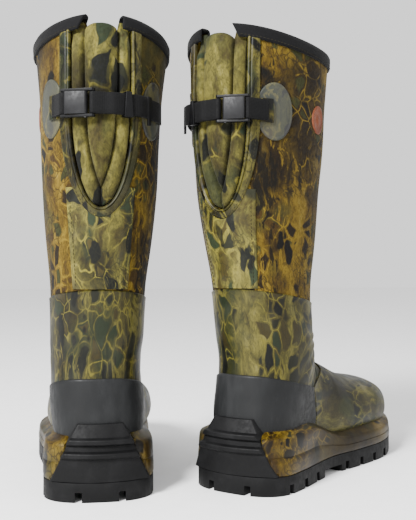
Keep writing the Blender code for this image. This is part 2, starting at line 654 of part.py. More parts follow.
def make_strap(prefix):
    buckle, keeper = Station(BUCKLE_ANGLE), Station(KEEPER_ANGLE)
    middle, tail = Station((BUCKLE_ANGLE + KEEPER_ANGLE) / 2), Station(TAIL_ANGLE)
    sewn = Station(STRAP_SEWN_ANGLE)
    turn = BAR_RADIUS + GAP + STRAP_WALL / 2
    round_bar = [buckle.flat(*p) for p in arc(MEDIAL_BAR, turn, -90, -270, 8)]
    path = [sewn.flat(0, 0), Station(STRAP_SEWN_ANGLE - 9).flat(0, 0.2 * MM),
            Station(TAIL_ANGLE + 4).flat(0, 1.0 * MM)]
    path += [keeper.flat(KEEPER_STRAIGHT, LOWER_RUN), keeper.flat(-KEEPER_STRAIGHT, LOWER_RUN)]
    path += [middle.flat(0, LOWER_RUN + 0.8 * MM)]
    path += round_bar
    path += [middle.flat(0, UPPER_RUN + 1.0 * MM)]
    path += [keeper.flat(-KEEPER_STRAIGHT, UPPER_RUN), keeper.flat(KEEPER_STRAIGHT, UPPER_RUN)]
    path += [tail.flat(0, UPPER_RUN + 0.6 * MM)]
    ribbon(prefix + "strap", path, STRAP_WALL, STRAP_WIDTH / 2, buckle.height)

    end = (Vector(path[-1]) - Vector(path[-2])).normalized()
    outward = Vector((end.y, -end.x))
    start = Vector(path[-1]) + end * GAP

    def tip_point(along, out):
        point = start + end * along + outward * out
        return (point.x, point.y)

    half, wall = STRAP_WIDTH / 2 + 0.5 * MM, STRAP_WALL / 2 + 0.4 * MM
    outline = [tip_point(0, -wall), tip_point(TIP_LENGTH, -wall),
               tip_point(TIP_LENGTH, wall), tip_point(0, wall)]
    tip = prism(prefix + "strap_tip", outline, buckle.height - half, buckle.height + half)
    near, far = 1 * MM, TIP_LENGTH - 1 * MM
    nub = [tip_point(near, -wall), tip_point(far, -wall), tip_point(far, wall), tip_point(near, wall)]
    carve(tip, prism("nub", nub, buckle.height - half - NUB_DROP, buckle.height - half + 2 * MM), "UNION")

    low, high = LOWER_RUN - STRAP_WALL / 2 - 0.5 * MM, UPPER_RUN + STRAP_WALL / 2 + 0.5 * MM
    reach, inside = KEEPER_LENGTH / 2, STRAP_WIDTH / 2 + 0.6 * MM

    def block(name, grow, at=(0, 0, 0), longer=0.0):
        corners = [(-reach - longer, low - grow), (reach + longer, low - grow),
                   (reach + longer, high + grow), (-reach - longer, high + grow)]
        return station_prism(name, keeper, corners, -inside - grow, inside + grow, at)

    centre = tuple(keeper.at(0, (low + high) / 2))
    loop = block(prefix + "strap_keeper", KEEPER_WALL, centre)
    carve(loop, block("window", 0.0, longer=1 * MM), "DIFFERENCE")

    tab_reach = GUSSET_HALF_WIDTH + FRAME_BAND + TAB_CLEAR
    tab = Station(-math.degrees(math.asin(tab_reach / (SHAFT_RINGS[-1][3] / 2))))
    tab_low = GAP * 2 + PATCH_WALL - STRAP_LIFT + 0.2 * MM
    tab_high = tab_low + TAB_WALL
    half, tall = TAB_HALF
    corners = [(-half, tab_low), (half, tab_low), (half, tab_high), (-half, tab_high)]
    station_prism(prefix + "anchor_tab", tab, corners, -tall, tall)
    first = tab_high + GAP + LOOP_WALL / 2
    second = first + LOOP_WALL + 0.4 * MM
    turn = BAR_RADIUS + 0.2 * MM + GAP + LOOP_WALL / 2
    away = buckle.bearing(LATERAL_BAR, tab.flat(6 * MM, (first + second) / 2))
    round_bar = [buckle.flat(*p) for p in arc(LATERAL_BAR, turn, away - 270, away - 90, 8)]
    path = [tab.flat(-4 * MM, first), tab.flat(6 * MM, first), *round_bar,
            tab.flat(6 * MM, second), tab.flat(-4 * MM, second)]
    ribbon(prefix + "anchor_loop", path, LOOP_WALL, STRAP_WIDTH / 2, buckle.height)


# ==== Foot: overlays and sole =================================================================
def form_block(name, outward):
    """The lower form as one solid, grown outward, for cutting what fits round it."""
    places = LOWER_PLACES
    rows = [[layer_point(p, a, outward) for a in FULL_TURN] for p in places[:-1]]
    tip = layer_point(3.0, 0.0, outward)
    count = ROUND_STEPS
    points = [p for row in rows for p in row] + [tip]
    faces = [tuple(range(count))]
    for r in range(len(rows) - 1):
        for c in range(count):
            d = (c + 1) % count
            faces += split_quad(r * count + c, r * count + d, (r + 1) * count + d, (r + 1) * count + c)
    last = (len(rows) - 1) * count
    faces += [(last + c, last + (c + 1) % count, len(points) - 1) for c in range(count)]
    return solid(name, points, faces)


def make_overlays(prefix):
    start = RUBBER_PROUD + GAP
    guard = shell(prefix + "heel_guard", LOWER_PLACES[1:9], FULL_TURN, start + GUARD_WALL, start)
    outline = [(-0.05, GUARD_REAR_TOP + 4 * MM), (20 * MM, GUARD_REAR_TOP - 4 * MM),
               (55 * MM, GUARD_REAR_TOP - 13 * MM), (GUARD_FRONT, GUARD_FRONT_TOP),
               (GUARD_FRONT + 6 * MM, 60 * MM), (GUARD_FRONT + 4 * MM, 34 * MM), (-0.05, 36 * MM)]
    carve(guard, prism("keep", outline, *ALL_ACROSS, "x"), "INTERSECT")

    vamp = shell(prefix + "vamp_overlay", LOWER_PLACES[4:], FULL_TURN, start + VAMP_WALL, start)
    edge = GAP
    outline = [(GUARD_FRONT + edge, GUARD_FRONT_TOP), (GUARD_FRONT + 6 * MM + edge, 60 * MM),
               (GUARD_FRONT + 4 * MM + edge, 34 * MM), (0.35, 30 * MM), (0.35, 0.15),
               (ANKLE_PIVOT_Y + 8 * MM, 0.15), (ANKLE_PIVOT_Y - 14 * MM, 104 * MM)]
    # The exact solver leaves the closed toe of this layer uncut.
    carve(vamp, prism("keep", outline, *ALL_ACROSS, "x"), "INTERSECT", "MANIFOLD")


def rand_top(y):
    share = min(max((y - 80 * MM) / (75 * MM), 0.0), 1.0)
    share = share * share * (3 - 2 * share)
    return RAND_HEEL_TOP + (RAND_TOE_TOP - RAND_HEEL_TOP) * share


def kick_block(name, grow, behind=0.0):
    """The kick tab as a stack of slices, bowed like the heel, before the heel is cut out of it."""
    (low, wide, low_rear), (high, narrow, high_rear) = KICK_ROWS[0], KICK_ROWS[-1]
    rows = list(KICK_ROWS)
    if grow:
        rows = [(low - grow, wide + grow, low_rear), *rows, (high + grow, narrow, high_rear)]
    loops = []
    for z, half, rear in rows:
        across = [(half + grow) * (i / 3 - 1) for i in range(7)]
        bow = [(x, rear - grow - behind + x**2 / (2 * KICK_BOW), z) for x in across]
        loops.append(bow + [(across[-1], KICK_FRONT + grow, z), (across[0], KICK_FRONT + grow, z)])
    return loft(name, loops)


def make_sole(prefix):
    over = RUBBER_PROUD + GAP + GUARD_WALL + CUT_GAP
    outline = sole_outline()
    low = OUTSOLE_HEIGHT + GAP
    levels = []
    for share, flare in ((0.0, 0.0), (0.5, 0.2), (0.85, 0.6), (1.0, 1.0)):
        inner = sole_outline(RAND_FLARE * flare)
        levels.append([(x, y, low + (rand_top(y) - low) * share) for x, y in inner])
    rand = loft(prefix + "rand", levels)
    carve(rand, form_block("form", over), "DIFFERENCE")
    inset = sole_outline(MIDSOLE_INSET - GAP)
    carve(rand, prism("midsole_space", inset, low - 2 * MM, MIDSOLE_TOP + GAP), "DIFFERENCE")
    carve(rand, kick_block("kick_space", CUT_GAP, 10 * MM), "DIFFERENCE")

    kick = kick_block(prefix + "kick_tab", 0.0)
    carve(kick, form_block("form", over), "DIFFERENCE")
    carve(kick, prism("midsole_space", inset, low - 2 * MM, MIDSOLE_TOP + GAP), "DIFFERENCE")

    midsole = prism(prefix + "midsole", sole_outline(MIDSOLE_INSET), low, MIDSOLE_TOP)
    carve(midsole, form_block("form", over), "DIFFERENCE")
    width, length, wall = SHANK_SIZE
    room = 0.4 * MM
    pocket = box("pocket", (-width / 2 - room, SHANK_START - room, low - 1 * MM),
                 (width / 2 + room, SHANK_START + length + room, low + wall + room))
    carve(midsole, pocket, "DIFFERENCE")
    box(prefix + "shank", (-width / 2, SHANK_START, low), (width / 2, SHANK_START + length, low + wall))

    outsole = prism(prefix + "outsole", outline, 0.0, OUTSOLE_HEIGHT)
    half = GROOVE_WIDTH / 2
    for share in CROSS_GROOVES:
        y = share * SOLE_LENGTH
        slant = GROOVE_SLANT["forefoot" if share > ARCH_SPAN[1] else "heel"]
        vee = [(-BEYOND_SIDE, y - half - slant), (0, y - half), (BEYOND_SIDE, y - half - slant),
               (BEYOND_SIDE, y + half - slant), (0, y + half), (-BEYOND_SIDE, y + half - slant)]
        carve(outsole, prism("groove", vee, BELOW_GROUND, GROOVE_DEPTH), "DIFFERENCE")
    for x in LONG_GROOVES_X:
        for start, end in LONG_GROOVE_SPANS:
            groove = box("groove", (x - half, start * SOLE_LENGTH, BELOW_GROUND),
                         (x + half, end * SOLE_LENGTH, GROOVE_DEPTH))
            carve(outsole, groove, "DIFFERENCE")
    start, end = ARCH_SPAN
    arch = box("arch", (-BEYOND_SIDE, start * SOLE_LENGTH, BELOW_GROUND),
               (BEYOND_SIDE, end * SOLE_LENGTH, ARCH_DEPTH))
    carve(outsole, arch, "DIFFERENCE")


# ==== Finishes ================================================================================
# colour, roughness, metallic
FINISHES = {
    "shaft": ((0.21, 0.16, 0.06), 0.85, 0.0),
    "lining": ((0.05, 0.045, 0.04), 0.95, 0.0),
    "inner_bootie": ((0.06, 0.06, 0.06), 0.9, 0.0),
    "insole": ((0.08, 0.08, 0.085), 0.9, 0.0),
    "rubber_bootie": ((0.17, 0.17, 0.09), 0.5, 0.0),
    "gusset": ((0.16, 0.15, 0.07), 0.8, 0.0),
    "gusset_frame": ((0.18, 0.18, 0.10), 0.55, 0.0),
    "rear_spine": ((0.20, 0.19, 0.10), 0.6, 0.0),
    "top_binding": ((0.015, 0.015, 0.017), 0.9, 0.0),
    "medial_patch": ((0.20, 0.23, 0.16), 0.5, 0.0),
    "lateral_patch": ((0.20, 0.23, 0.16), 0.5, 0.0),
    "badge": ((0.45, 0.12, 0.12), 0.5, 0.0),
    "strap": ((0.012, 0.012, 0.013), 0.85, 0.0),
    "strap_tip": ((0.015, 0.015, 0.016), 0.5, 0.0),
    "strap_keeper": ((0.03, 0.03, 0.032), 0.45, 0.0),
    "anchor_tab": ((0.15, 0.14, 0.08), 0.7, 0.0),
    "anchor_loop": ((0.012, 0.012, 0.013), 0.85, 0.0),
    "buckle_frame": ((0.05, 0.05, 0.055), 0.45, 0.0),
    "buckle_lever": ((0.08, 0.08, 0.085), 0.4, 0.0),
    "buckle_pin": ((0.5, 0.5, 0.5), 0.3, 1.0),
    "heel_guard": ((0.035, 0.037, 0.04), 0.55, 0.0),
    "vamp_overlay": ((0.11, 0.11, 0.06), 0.5, 0.0),
    "kick_tab": ((0.02, 0.02, 0.022), 0.6, 0.0),
    "rand": ((0.16, 0.12, 0.06), 0.6, 0.0),
    "midsole": ((0.09, 0.09, 0.09), 0.8, 0.0),
    "shank": ((0.45, 0.45, 0.46), 0.35, 1.0),
    "outsole": ((0.015, 0.015, 0.016), 0.65, 0.0),
}
FLAT_PIECES = ("outsole", "shank", "strap_keeper", "anchor_tab")


def dress(prefix):
    """Give each piece of a boot its material, and shade its round faces smooth."""
    for key, (colour, roughness, metallic) in FINISHES.items():
        obj = bpy.data.objects[prefix + key]
        material = bpy.data.materials.new(prefix + key)
        material.use_nodes = True
        shader = material.node_tree.nodes["Principled BSDF"]
        shader.inputs["Base Color"].default_value = (*colour, 1.0)
        shader.inputs["Roughness"].default_value = roughness
        shader.inputs["Metallic"].default_value = metallic
        obj.data.materials.clear()
        obj.data.materials.append(material)
        if key not in FLAT_PIECES:
            obj.data.shade_smooth()
            obj.data.set_sharp_from_angle(angle=math.radians(35))


# ==== The pair ================================================================================
def make_boot(prefix, sign, location, turn):
    global side, boot
    side = sign
    boot = bpy.data.objects.new(prefix + "boot", None)
    bpy.context.collection.objects.link(boot)
    make_shells(prefix)
    make_gusset(prefix)
    make_binding(prefix)
    make_patches(prefix)
    make_buckle(prefix)
    make_strap(prefix)
    make_overlays(prefix)
    make_sole(prefix)
    dress(prefix)
    boot.matrix_world = Matrix.Translation(location) @ Matrix.Rotation(turn, 4, "Z")
    return boot


def world_box():
    bpy.context.view_layer.update()
    points = [obj.matrix_world @ v.co for obj in bpy.data.objects if obj.type == "MESH"
              for v in obj.data.vertices]
    points = np.array(points)
    return points.min(axis=0), points.max(axis=0)


def main():
    for obj in list(bpy.data.objects):
        bpy.data.objects.remove(obj)
    boots = [make_boot("left_", 1, (0, 0, 0), 0.0),
             make_boot("right_", -1, (*RIGHT_HEEL_AT, 0), RIGHT_BOOT_TURN)]
    low, high = world_box()
    centre = (low + high) / 2
    for empty in boots:
        empty.location -= Vector((centre[0], centre[1], low[2]))
    bpy.context.view_layer.update()


main()
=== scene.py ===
# %% [markdown]
# # A pair of insulated hunting boots: the finished surfaces
#
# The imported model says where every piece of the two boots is, how large it is and what moves.
# This file dresses that model. Each boot is made once, in its own frame (heel at y = 0, toe
# along +Y, inner side +X), and every finished piece is then set on the left boot and, mirrored,
# on the right boot. We start by loading the model and keeping its outer box.

import math

import bmesh
import bpy
import numpy as np
from mathutils import Matrix, Vector, noise


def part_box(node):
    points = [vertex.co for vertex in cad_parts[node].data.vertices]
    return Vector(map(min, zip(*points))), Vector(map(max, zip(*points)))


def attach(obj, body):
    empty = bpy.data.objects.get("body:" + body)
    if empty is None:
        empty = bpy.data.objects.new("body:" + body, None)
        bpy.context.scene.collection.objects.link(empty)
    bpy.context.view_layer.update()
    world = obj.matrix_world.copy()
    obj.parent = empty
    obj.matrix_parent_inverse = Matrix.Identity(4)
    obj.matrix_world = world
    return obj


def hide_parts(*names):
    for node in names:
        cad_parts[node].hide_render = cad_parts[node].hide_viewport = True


MM = 0.001
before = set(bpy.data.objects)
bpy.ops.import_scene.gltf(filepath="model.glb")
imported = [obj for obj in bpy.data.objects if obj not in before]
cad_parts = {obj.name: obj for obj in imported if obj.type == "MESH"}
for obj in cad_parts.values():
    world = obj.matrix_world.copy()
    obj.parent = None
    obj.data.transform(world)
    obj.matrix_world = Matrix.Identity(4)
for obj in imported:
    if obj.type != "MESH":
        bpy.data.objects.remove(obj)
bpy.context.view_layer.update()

# %% [markdown]
# ## Where the two boots stand
#
# The shank is a plain bar in the middle of each sole. Its centre lies on the boot's centre line,
# a known distance ahead of the heel, so its box gives each boot's heel. Only the turn of the
# right boot has to be said again. A mirror matrix then turns a left piece into a right one.

# %% Find the two boots
SHANK_MIDDLE = 127 * MM         # heel edge to the middle of the shank
TURNS = {"left_": 0.0, "right_": math.radians(-42)}
MIRRORS = {"left_": 1, "right_": -1}


def boot_place(prefix):
    """The matrix that carries a boot from its own frame to where it stands."""
    low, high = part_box(prefix + "shank")
    turn = Matrix.Rotation(TURNS[prefix], 4, "Z")
    heel = (low + high) / 2 - turn @ Vector((0, SHANK_MIDDLE, 0))
    heel.z = 0
    return Matrix.Translation(heel) @ turn


PLACES = {prefix: boot_place(prefix) for prefix in TURNS}
for prefix, place in PLACES.items():
    print(prefix + "boot: heel at", [round(v, 4) for v in place.translation])

# %% [markdown]
# ## The foot form
#
# Boots are built on a last, a solid foot shape. Ours is one sock-like surface: level rings down
# the shaft, rings fanned round the front of the ankle, and upright rings out to the toe. A point
# on it is named by a place (0 rim, 1 ankle, 2 ball side of the fan, 3 toe) and an angle round the
# leg (0 at the rear, positive to the inner side). Every soft and rubber layer is a sheet laid on
# that surface at some depth, so all of them fit each other. We could subdivide the coarse packed
# shells instead, but a formula gives us as many points as we like exactly where we want them.

# %% Sizes of the form
BOOT_HEIGHT = 440 * MM
SOLE_LENGTH = 315 * MM
ANKLE_HEIGHT = 148 * MM
ANKLE_PIVOT_Y = 150 * MM
TOE_INSET = 13 * MM
# share of the shaft's height, rear y, front y, width, shift to the inner side, in mm
SHAFT_RINGS = np.array([
    (0.00, 12, 120, 89, -2), (0.15, 4, 118, 92, -1), (0.32, -7, 124, 103, 0), (0.47, -15, 132, 110, 1),
    (0.62, -20, 141, 114, 1), (0.79, -22, 147, 118, 2), (1.00, -18, 148, 129, 3)])
# degrees below level, outer radius, inner radius, width, shift, in mm
ANKLE_RINGS = np.array([
    (0, 138, 30, 89, -2), (12, 137, 30, 86, -3), (24, 149, 30, 85, -3), (34, 166, 30, 86, -2),
    (42, 175, 31, 84, -1), (50, 159, 32, 80, 0), (60, 141, 33, 78, 0), (75, 126, 35, 80, 0),
    (90, 122, 38, 84, 0)])
# share of the foot, top z, bottom z, width, shift, in mm
FOOT_RINGS = np.array([
    (0.00, 110, 26, 84, 0), (0.20, 98, 26, 93, 1), (0.40, 90, 26, 102, 3), (0.60, 84, 26, 106, 5),
    (0.80, 79, 27, 102, 7), (1.00, 71, 28, 92, 9)])
# place, squareness of the sole side, squareness of the instep side
SQUARENESS = np.array([
    (0.0, 2.0, 2.0), (1.0, 2.1, 2.1), (1.45, 2.5, 2.2), (2.0, 3.2, 2.2), (3.0, 2.8, 2.3)])
TOE_CLOSES_AT = 0.55
TOE_ROUNDNESS = 2.4
RIM_SIDE_DROP = 13 * MM
RIM_FRONT_DROP = 10 * MM
RIM_FADE = np.array([(0.0, 1.0), (0.05, 1.0), (0.40, 0.0), (1.0, 0.0)])
BOOTIE_EDGE_HEIGHT = 183 * MM
BOOTIE_EDGE_TILT = 10 * MM
TOE_SPRING = [(0.70, 0.045), (0.86, 0.10)]


def smooth(rows, column, place):
    """The column's value at each place, on a smooth curve through the rows."""
    xs, ys = rows[:, 0], rows[:, column]
    place = np.clip(place, xs[0], xs[-1])
    low = np.maximum(np.arange(len(xs)) - 1, 0)
    high = np.minimum(np.arange(len(xs)) + 1, len(xs) - 1)
    slopes = (ys[high] - ys[low]) / (xs[high] - xs[low])
    k = np.clip(np.searchsorted(xs, place, side="right") - 1, 0, len(xs) - 2)
    span = xs[k + 1] - xs[k]
    t = (place - xs[k]) / span
    return ((2 * t**3 - 3 * t**2 + 1) * ys[k] + (t**3 - 2 * t**2 + t) * span * slopes[k]
            + (3 * t**2 - 2 * t**3) * ys[k + 1] + (t**3 - t**2) * span * slopes[k + 1])


def place_of_height(height):
    return (BOOT_HEIGHT - height) / (BOOT_HEIGHT - ANKLE_HEIGHT)


BOOTIE_EDGE = place_of_height(BOOTIE_EDGE_HEIGHT)
TILT_FADE = np.array([(0.0, 0.0), (0.5, 0.2), (BOOTIE_EDGE, 1.0), (1.0, 0.0)])
print("the rubber foot ends at place", round(BOOTIE_EDGE, 3))

# %% The form as one function
def form(place, angle):
    """Points of the form, for arrays of places and angles."""
    place, angle = np.broadcast_arrays(np.asarray(place, float), np.asarray(angle, float))
    square = np.where(np.cos(angle) > 0, smooth(SQUARENESS, 1, place), smooth(SQUARENESS, 2, place))
    back = np.sign(np.cos(angle)) * np.abs(np.cos(angle)) ** (2 / square)
    across = np.sign(np.sin(angle)) * np.abs(np.sin(angle)) ** (2 / square)

    share = 1 - place
    rear, front, width, shift = (smooth(SHAFT_RINGS, c, share) * MM for c in (1, 2, 3, 4))
    even = RIM_FRONT_DROP / 2 - RIM_SIDE_DROP
    drop = RIM_SIDE_DROP - RIM_FRONT_DROP / 2 * np.cos(angle) + even * np.cos(angle) ** 2
    height = ANKLE_HEIGHT + share * (BOOT_HEIGHT - ANKLE_HEIGHT) - drop * smooth(RIM_FADE, 1, place)
    height = height + BOOTIE_EDGE_TILT * back * smooth(TILT_FADE, 1, place)
    shaft = np.stack([shift + width / 2 * across, (rear + front) / 2 - (front - rear) / 2 * back,
                      height], -1)

    turn = np.clip(place - 1, 0, 1) * 90
    outer, inner, width, shift = (smooth(ANKLE_RINGS, c, turn) * MM for c in (1, 2, 3, 4))
    reach = (outer + inner) / 2 + (outer - inner) / 2 * back
    turn = np.radians(turn)
    ankle = np.stack([shift + width / 2 * across, ANKLE_PIVOT_Y - reach * np.cos(turn),
                      ANKLE_HEIGHT - reach * np.sin(turn)], -1)

    share = np.clip(place - 2, 0, 1)
    top, bottom, width, shift = (smooth(FOOT_RINGS, c, share) * MM for c in (1, 2, 3, 4))
    closing = np.clip((share - TOE_CLOSES_AT) / (1 - TOE_CLOSES_AT), 0, 1)
    close = (1 - closing ** TOE_ROUNDNESS) ** (1 / TOE_ROUNDNESS)
    length = SOLE_LENGTH - TOE_INSET - ANKLE_PIVOT_Y
    foot = np.stack([shift + width / 2 * across * close, ANKLE_PIVOT_Y + share * length,
                     (top + bottom) / 2 - (top - bottom) / 2 * back * close], -1)
    where = place[..., None]
    return np.where(where <= 1, shaft, np.where(where <= 2, ankle, foot))


def layer(place, angle, depth):
    """Points so far outside the form, along its normal."""
    place, angle = np.broadcast_arrays(np.asarray(place, float), np.asarray(angle, float))
    step = 0.02
    along = form(np.minimum(place + step, 2.999), angle) - form(np.maximum(place - step, 0), angle)
    around = form(place, angle + step) - form(place, angle - step)
    normal = np.cross(along, around)
    length = np.linalg.norm(normal, axis=-1, keepdims=True)
    normal = np.where(length > 1e-12, normal / np.maximum(length, 1e-12), [0.0, 1.0, 0.0])
    normal = np.where((place >= 2.999)[..., None], [0.0, 1.0, 0.0], normal)
    return form(place, angle) + normal * np.asarray(depth, float)[..., None]


def spring(points):
    """Lift what lies towards the toe, as the sole curls up there."""
    points = np.array(points, float)
    before = 0.0
    for share, slope in TOE_SPRING:
        points[..., 2] += np.maximum(points[..., 1] - share * SOLE_LENGTH, 0) * (slope - before)
        before = slope
    return points


print("the form's toe is at", form(3.0, 0.0).round(4), "and its rim's rear at", form(0.0, 0.0).round(4))

# %% [markdown]
# ## Turning grids into pieces
#
# A sheet on a boot has two faces and an edge. We lay a grid of points for its outer face and one
# for its inner face, and sew them together round the border, which gives a closed skin with the
# real wall. Each point also keeps a second set of coordinates, its place on the straightened
# leg. Finishes are painted in those, so that a print runs down the shaft and round the ankle
# instead of being sliced through by the axes of the room.

# %% Helpers that make a piece
LEG_RADIUS = 55 * MM            # mean radius of the leg, for the print's coordinates
PATH_LENGTHS = (292 * MM, 130 * MM, 150 * MM)   # shaft, ankle and foot, along the form
PIECES = {}


def print_place(place, angle, offset=(0, 0, 0)):
    """Where a point of the form lies on the straightened leg."""
    place, angle = np.broadcast_arrays(np.asarray(place, float), np.asarray(angle, float))
    down = sum(length * np.clip(place - i, 0, 1) for i, length in enumerate(PATH_LENGTHS))
    closing = np.clip((place - 2 - TOE_CLOSES_AT) / (1 - TOE_CLOSES_AT), 0, 1)
    radius = LEG_RADIUS * (1 - closing ** TOE_ROUNDNESS) ** (1 / TOE_ROUNDNESS)
    return np.stack([radius * np.cos(angle), radius * np.sin(angle), -down], -1) + np.array(offset)


def grid_faces(rows, columns, wrap, first=0, flip=False):
    faces = []
    for r in range(rows - 1):
        for c in range(columns if wrap else columns - 1):
            d = (c + 1) % columns
            a, b = first + r * columns + c, first + r * columns + d
            quad = (a, b, b + columns, a + columns)
            faces.append(quad[::-1] if flip else quad)
    return faces


def border(rows, columns, wrap):
    """The grid's edge as a list of loops of point numbers."""
    if wrap:
        last = (rows - 1) * columns
        return [list(range(columns)), list(range(last, last + columns))[::-1]]
    top = list(range(columns))
    right = [r * columns + columns - 1 for r in range(1, rows)]
    bottom = [(rows - 1) * columns + c for c in range(columns - 2, -1, -1)]
    left = [r * columns for r in range(rows - 2, 0, -1)]
    return [top + right + bottom + left]


def to_mesh(name, points, faces, marks, sharp=40):
    """A mesh in the boot's frame, with the print's coordinates kept on its points."""
    mesh = bpy.data.meshes.new(name)
    mesh.from_pydata(spring(points).tolist(), [], faces)
    attribute = mesh.attributes.new("print_place", "FLOAT_VECTOR", "POINT")
    attribute.data.foreach_set("vector", np.asarray(marks, np.float32).ravel())
    bm = bmesh.new()
    bm.from_mesh(mesh)
    bmesh.ops.remove_doubles(bm, verts=bm.verts, dist=0.01 * MM)
    bmesh.ops.recalc_face_normals(bm, faces=bm.faces)
    bm.to_mesh(mesh)
    bm.free()
    mesh.shade_smooth()
    mesh.set_sharp_from_angle(angle=math.radians(sharp))
    return mesh


def two_faced(name, outer, inner, marks, wrap=False, sharp=40):
    """A closed skin from two grids of points, shape rows x columns x 3."""
    rows, columns = outer.shape[:2]
    count = rows * columns
    faces = grid_faces(rows, columns, wrap) + grid_faces(rows, columns, wrap, count, True)
    for loop in border(rows, columns, wrap):
        for a, b in zip(loop, loop[1:] + loop[:1]):
            faces.append((b, a, count + a, count + b))
    points = np.concatenate([outer.reshape(-1, 3), inner.reshape(-1, 3)])
    marks = np.concatenate([marks.reshape(-1, 3), marks.reshape(-1, 3)])
    return to_mesh(name, points, faces, marks, sharp)


def form_sheet(name, place, angle, depth, wall, wrap=False, offset=(0, 0, 0), sharp=40):
    """A sheet on the form: its outer face lies at depth, and it is so thick."""
    place, angle = np.broadcast_arrays(place, angle)
    depth = np.broadcast_to(depth, place.shape)
    wall = np.broadcast_to(wall, place.shape)
    outer, inner = layer(place, angle, depth), layer(place, angle, depth - wall)
    return two_faced(name, outer, inner, print_place(place, angle, offset), wrap, sharp)


def edge_round(distance, radius):
    """0 at a rounded edge, 1 once the radius is passed."""
    t = np.clip(distance / radius, 0, 1)
    return np.sqrt(np.clip(1 - (1 - t) ** 2, 0, 1))


def steps(count, *knots):
    """Evenly spread shares from 0 to 1, with extra ones close to both ends."""
    even = np.linspace(0, 1, count)
    return np.unique(np.concatenate([even, knots, 1 - np.array(knots)])) if knots else even


def full_turn(count):
    """Angles once round, as one row."""
    return np.linspace(0, 2 * math.pi, count, endpoint=False)[None, :]


def lumps(points, size, seed=0.0):
    """Slow random unevenness between -1 and 1, the same each time."""
    flat = points.reshape(-1, 3) / size
    values = [noise.noise(Vector((x + seed, y - seed, z + 2 * seed))) for x, y, z in flat]
    return np.array(values).reshape(points.shape[:-1])


def put_in_scene(name, data):
    """A new object in the scene for a mesh, a light or a camera."""
    obj = bpy.data.objects.new(name, data)
    bpy.context.scene.collection.objects.link(obj)
    return obj


def set_piece(node, mesh, finish, slot):
    """Keep a finished mesh for both boots: which node it stands for, its finish and its slot."""
    PIECES[node] = (mesh, finish, slot)
    print(f"{node}: {len(mesh.vertices)} points, slot {slot}")


print("helpers ready")
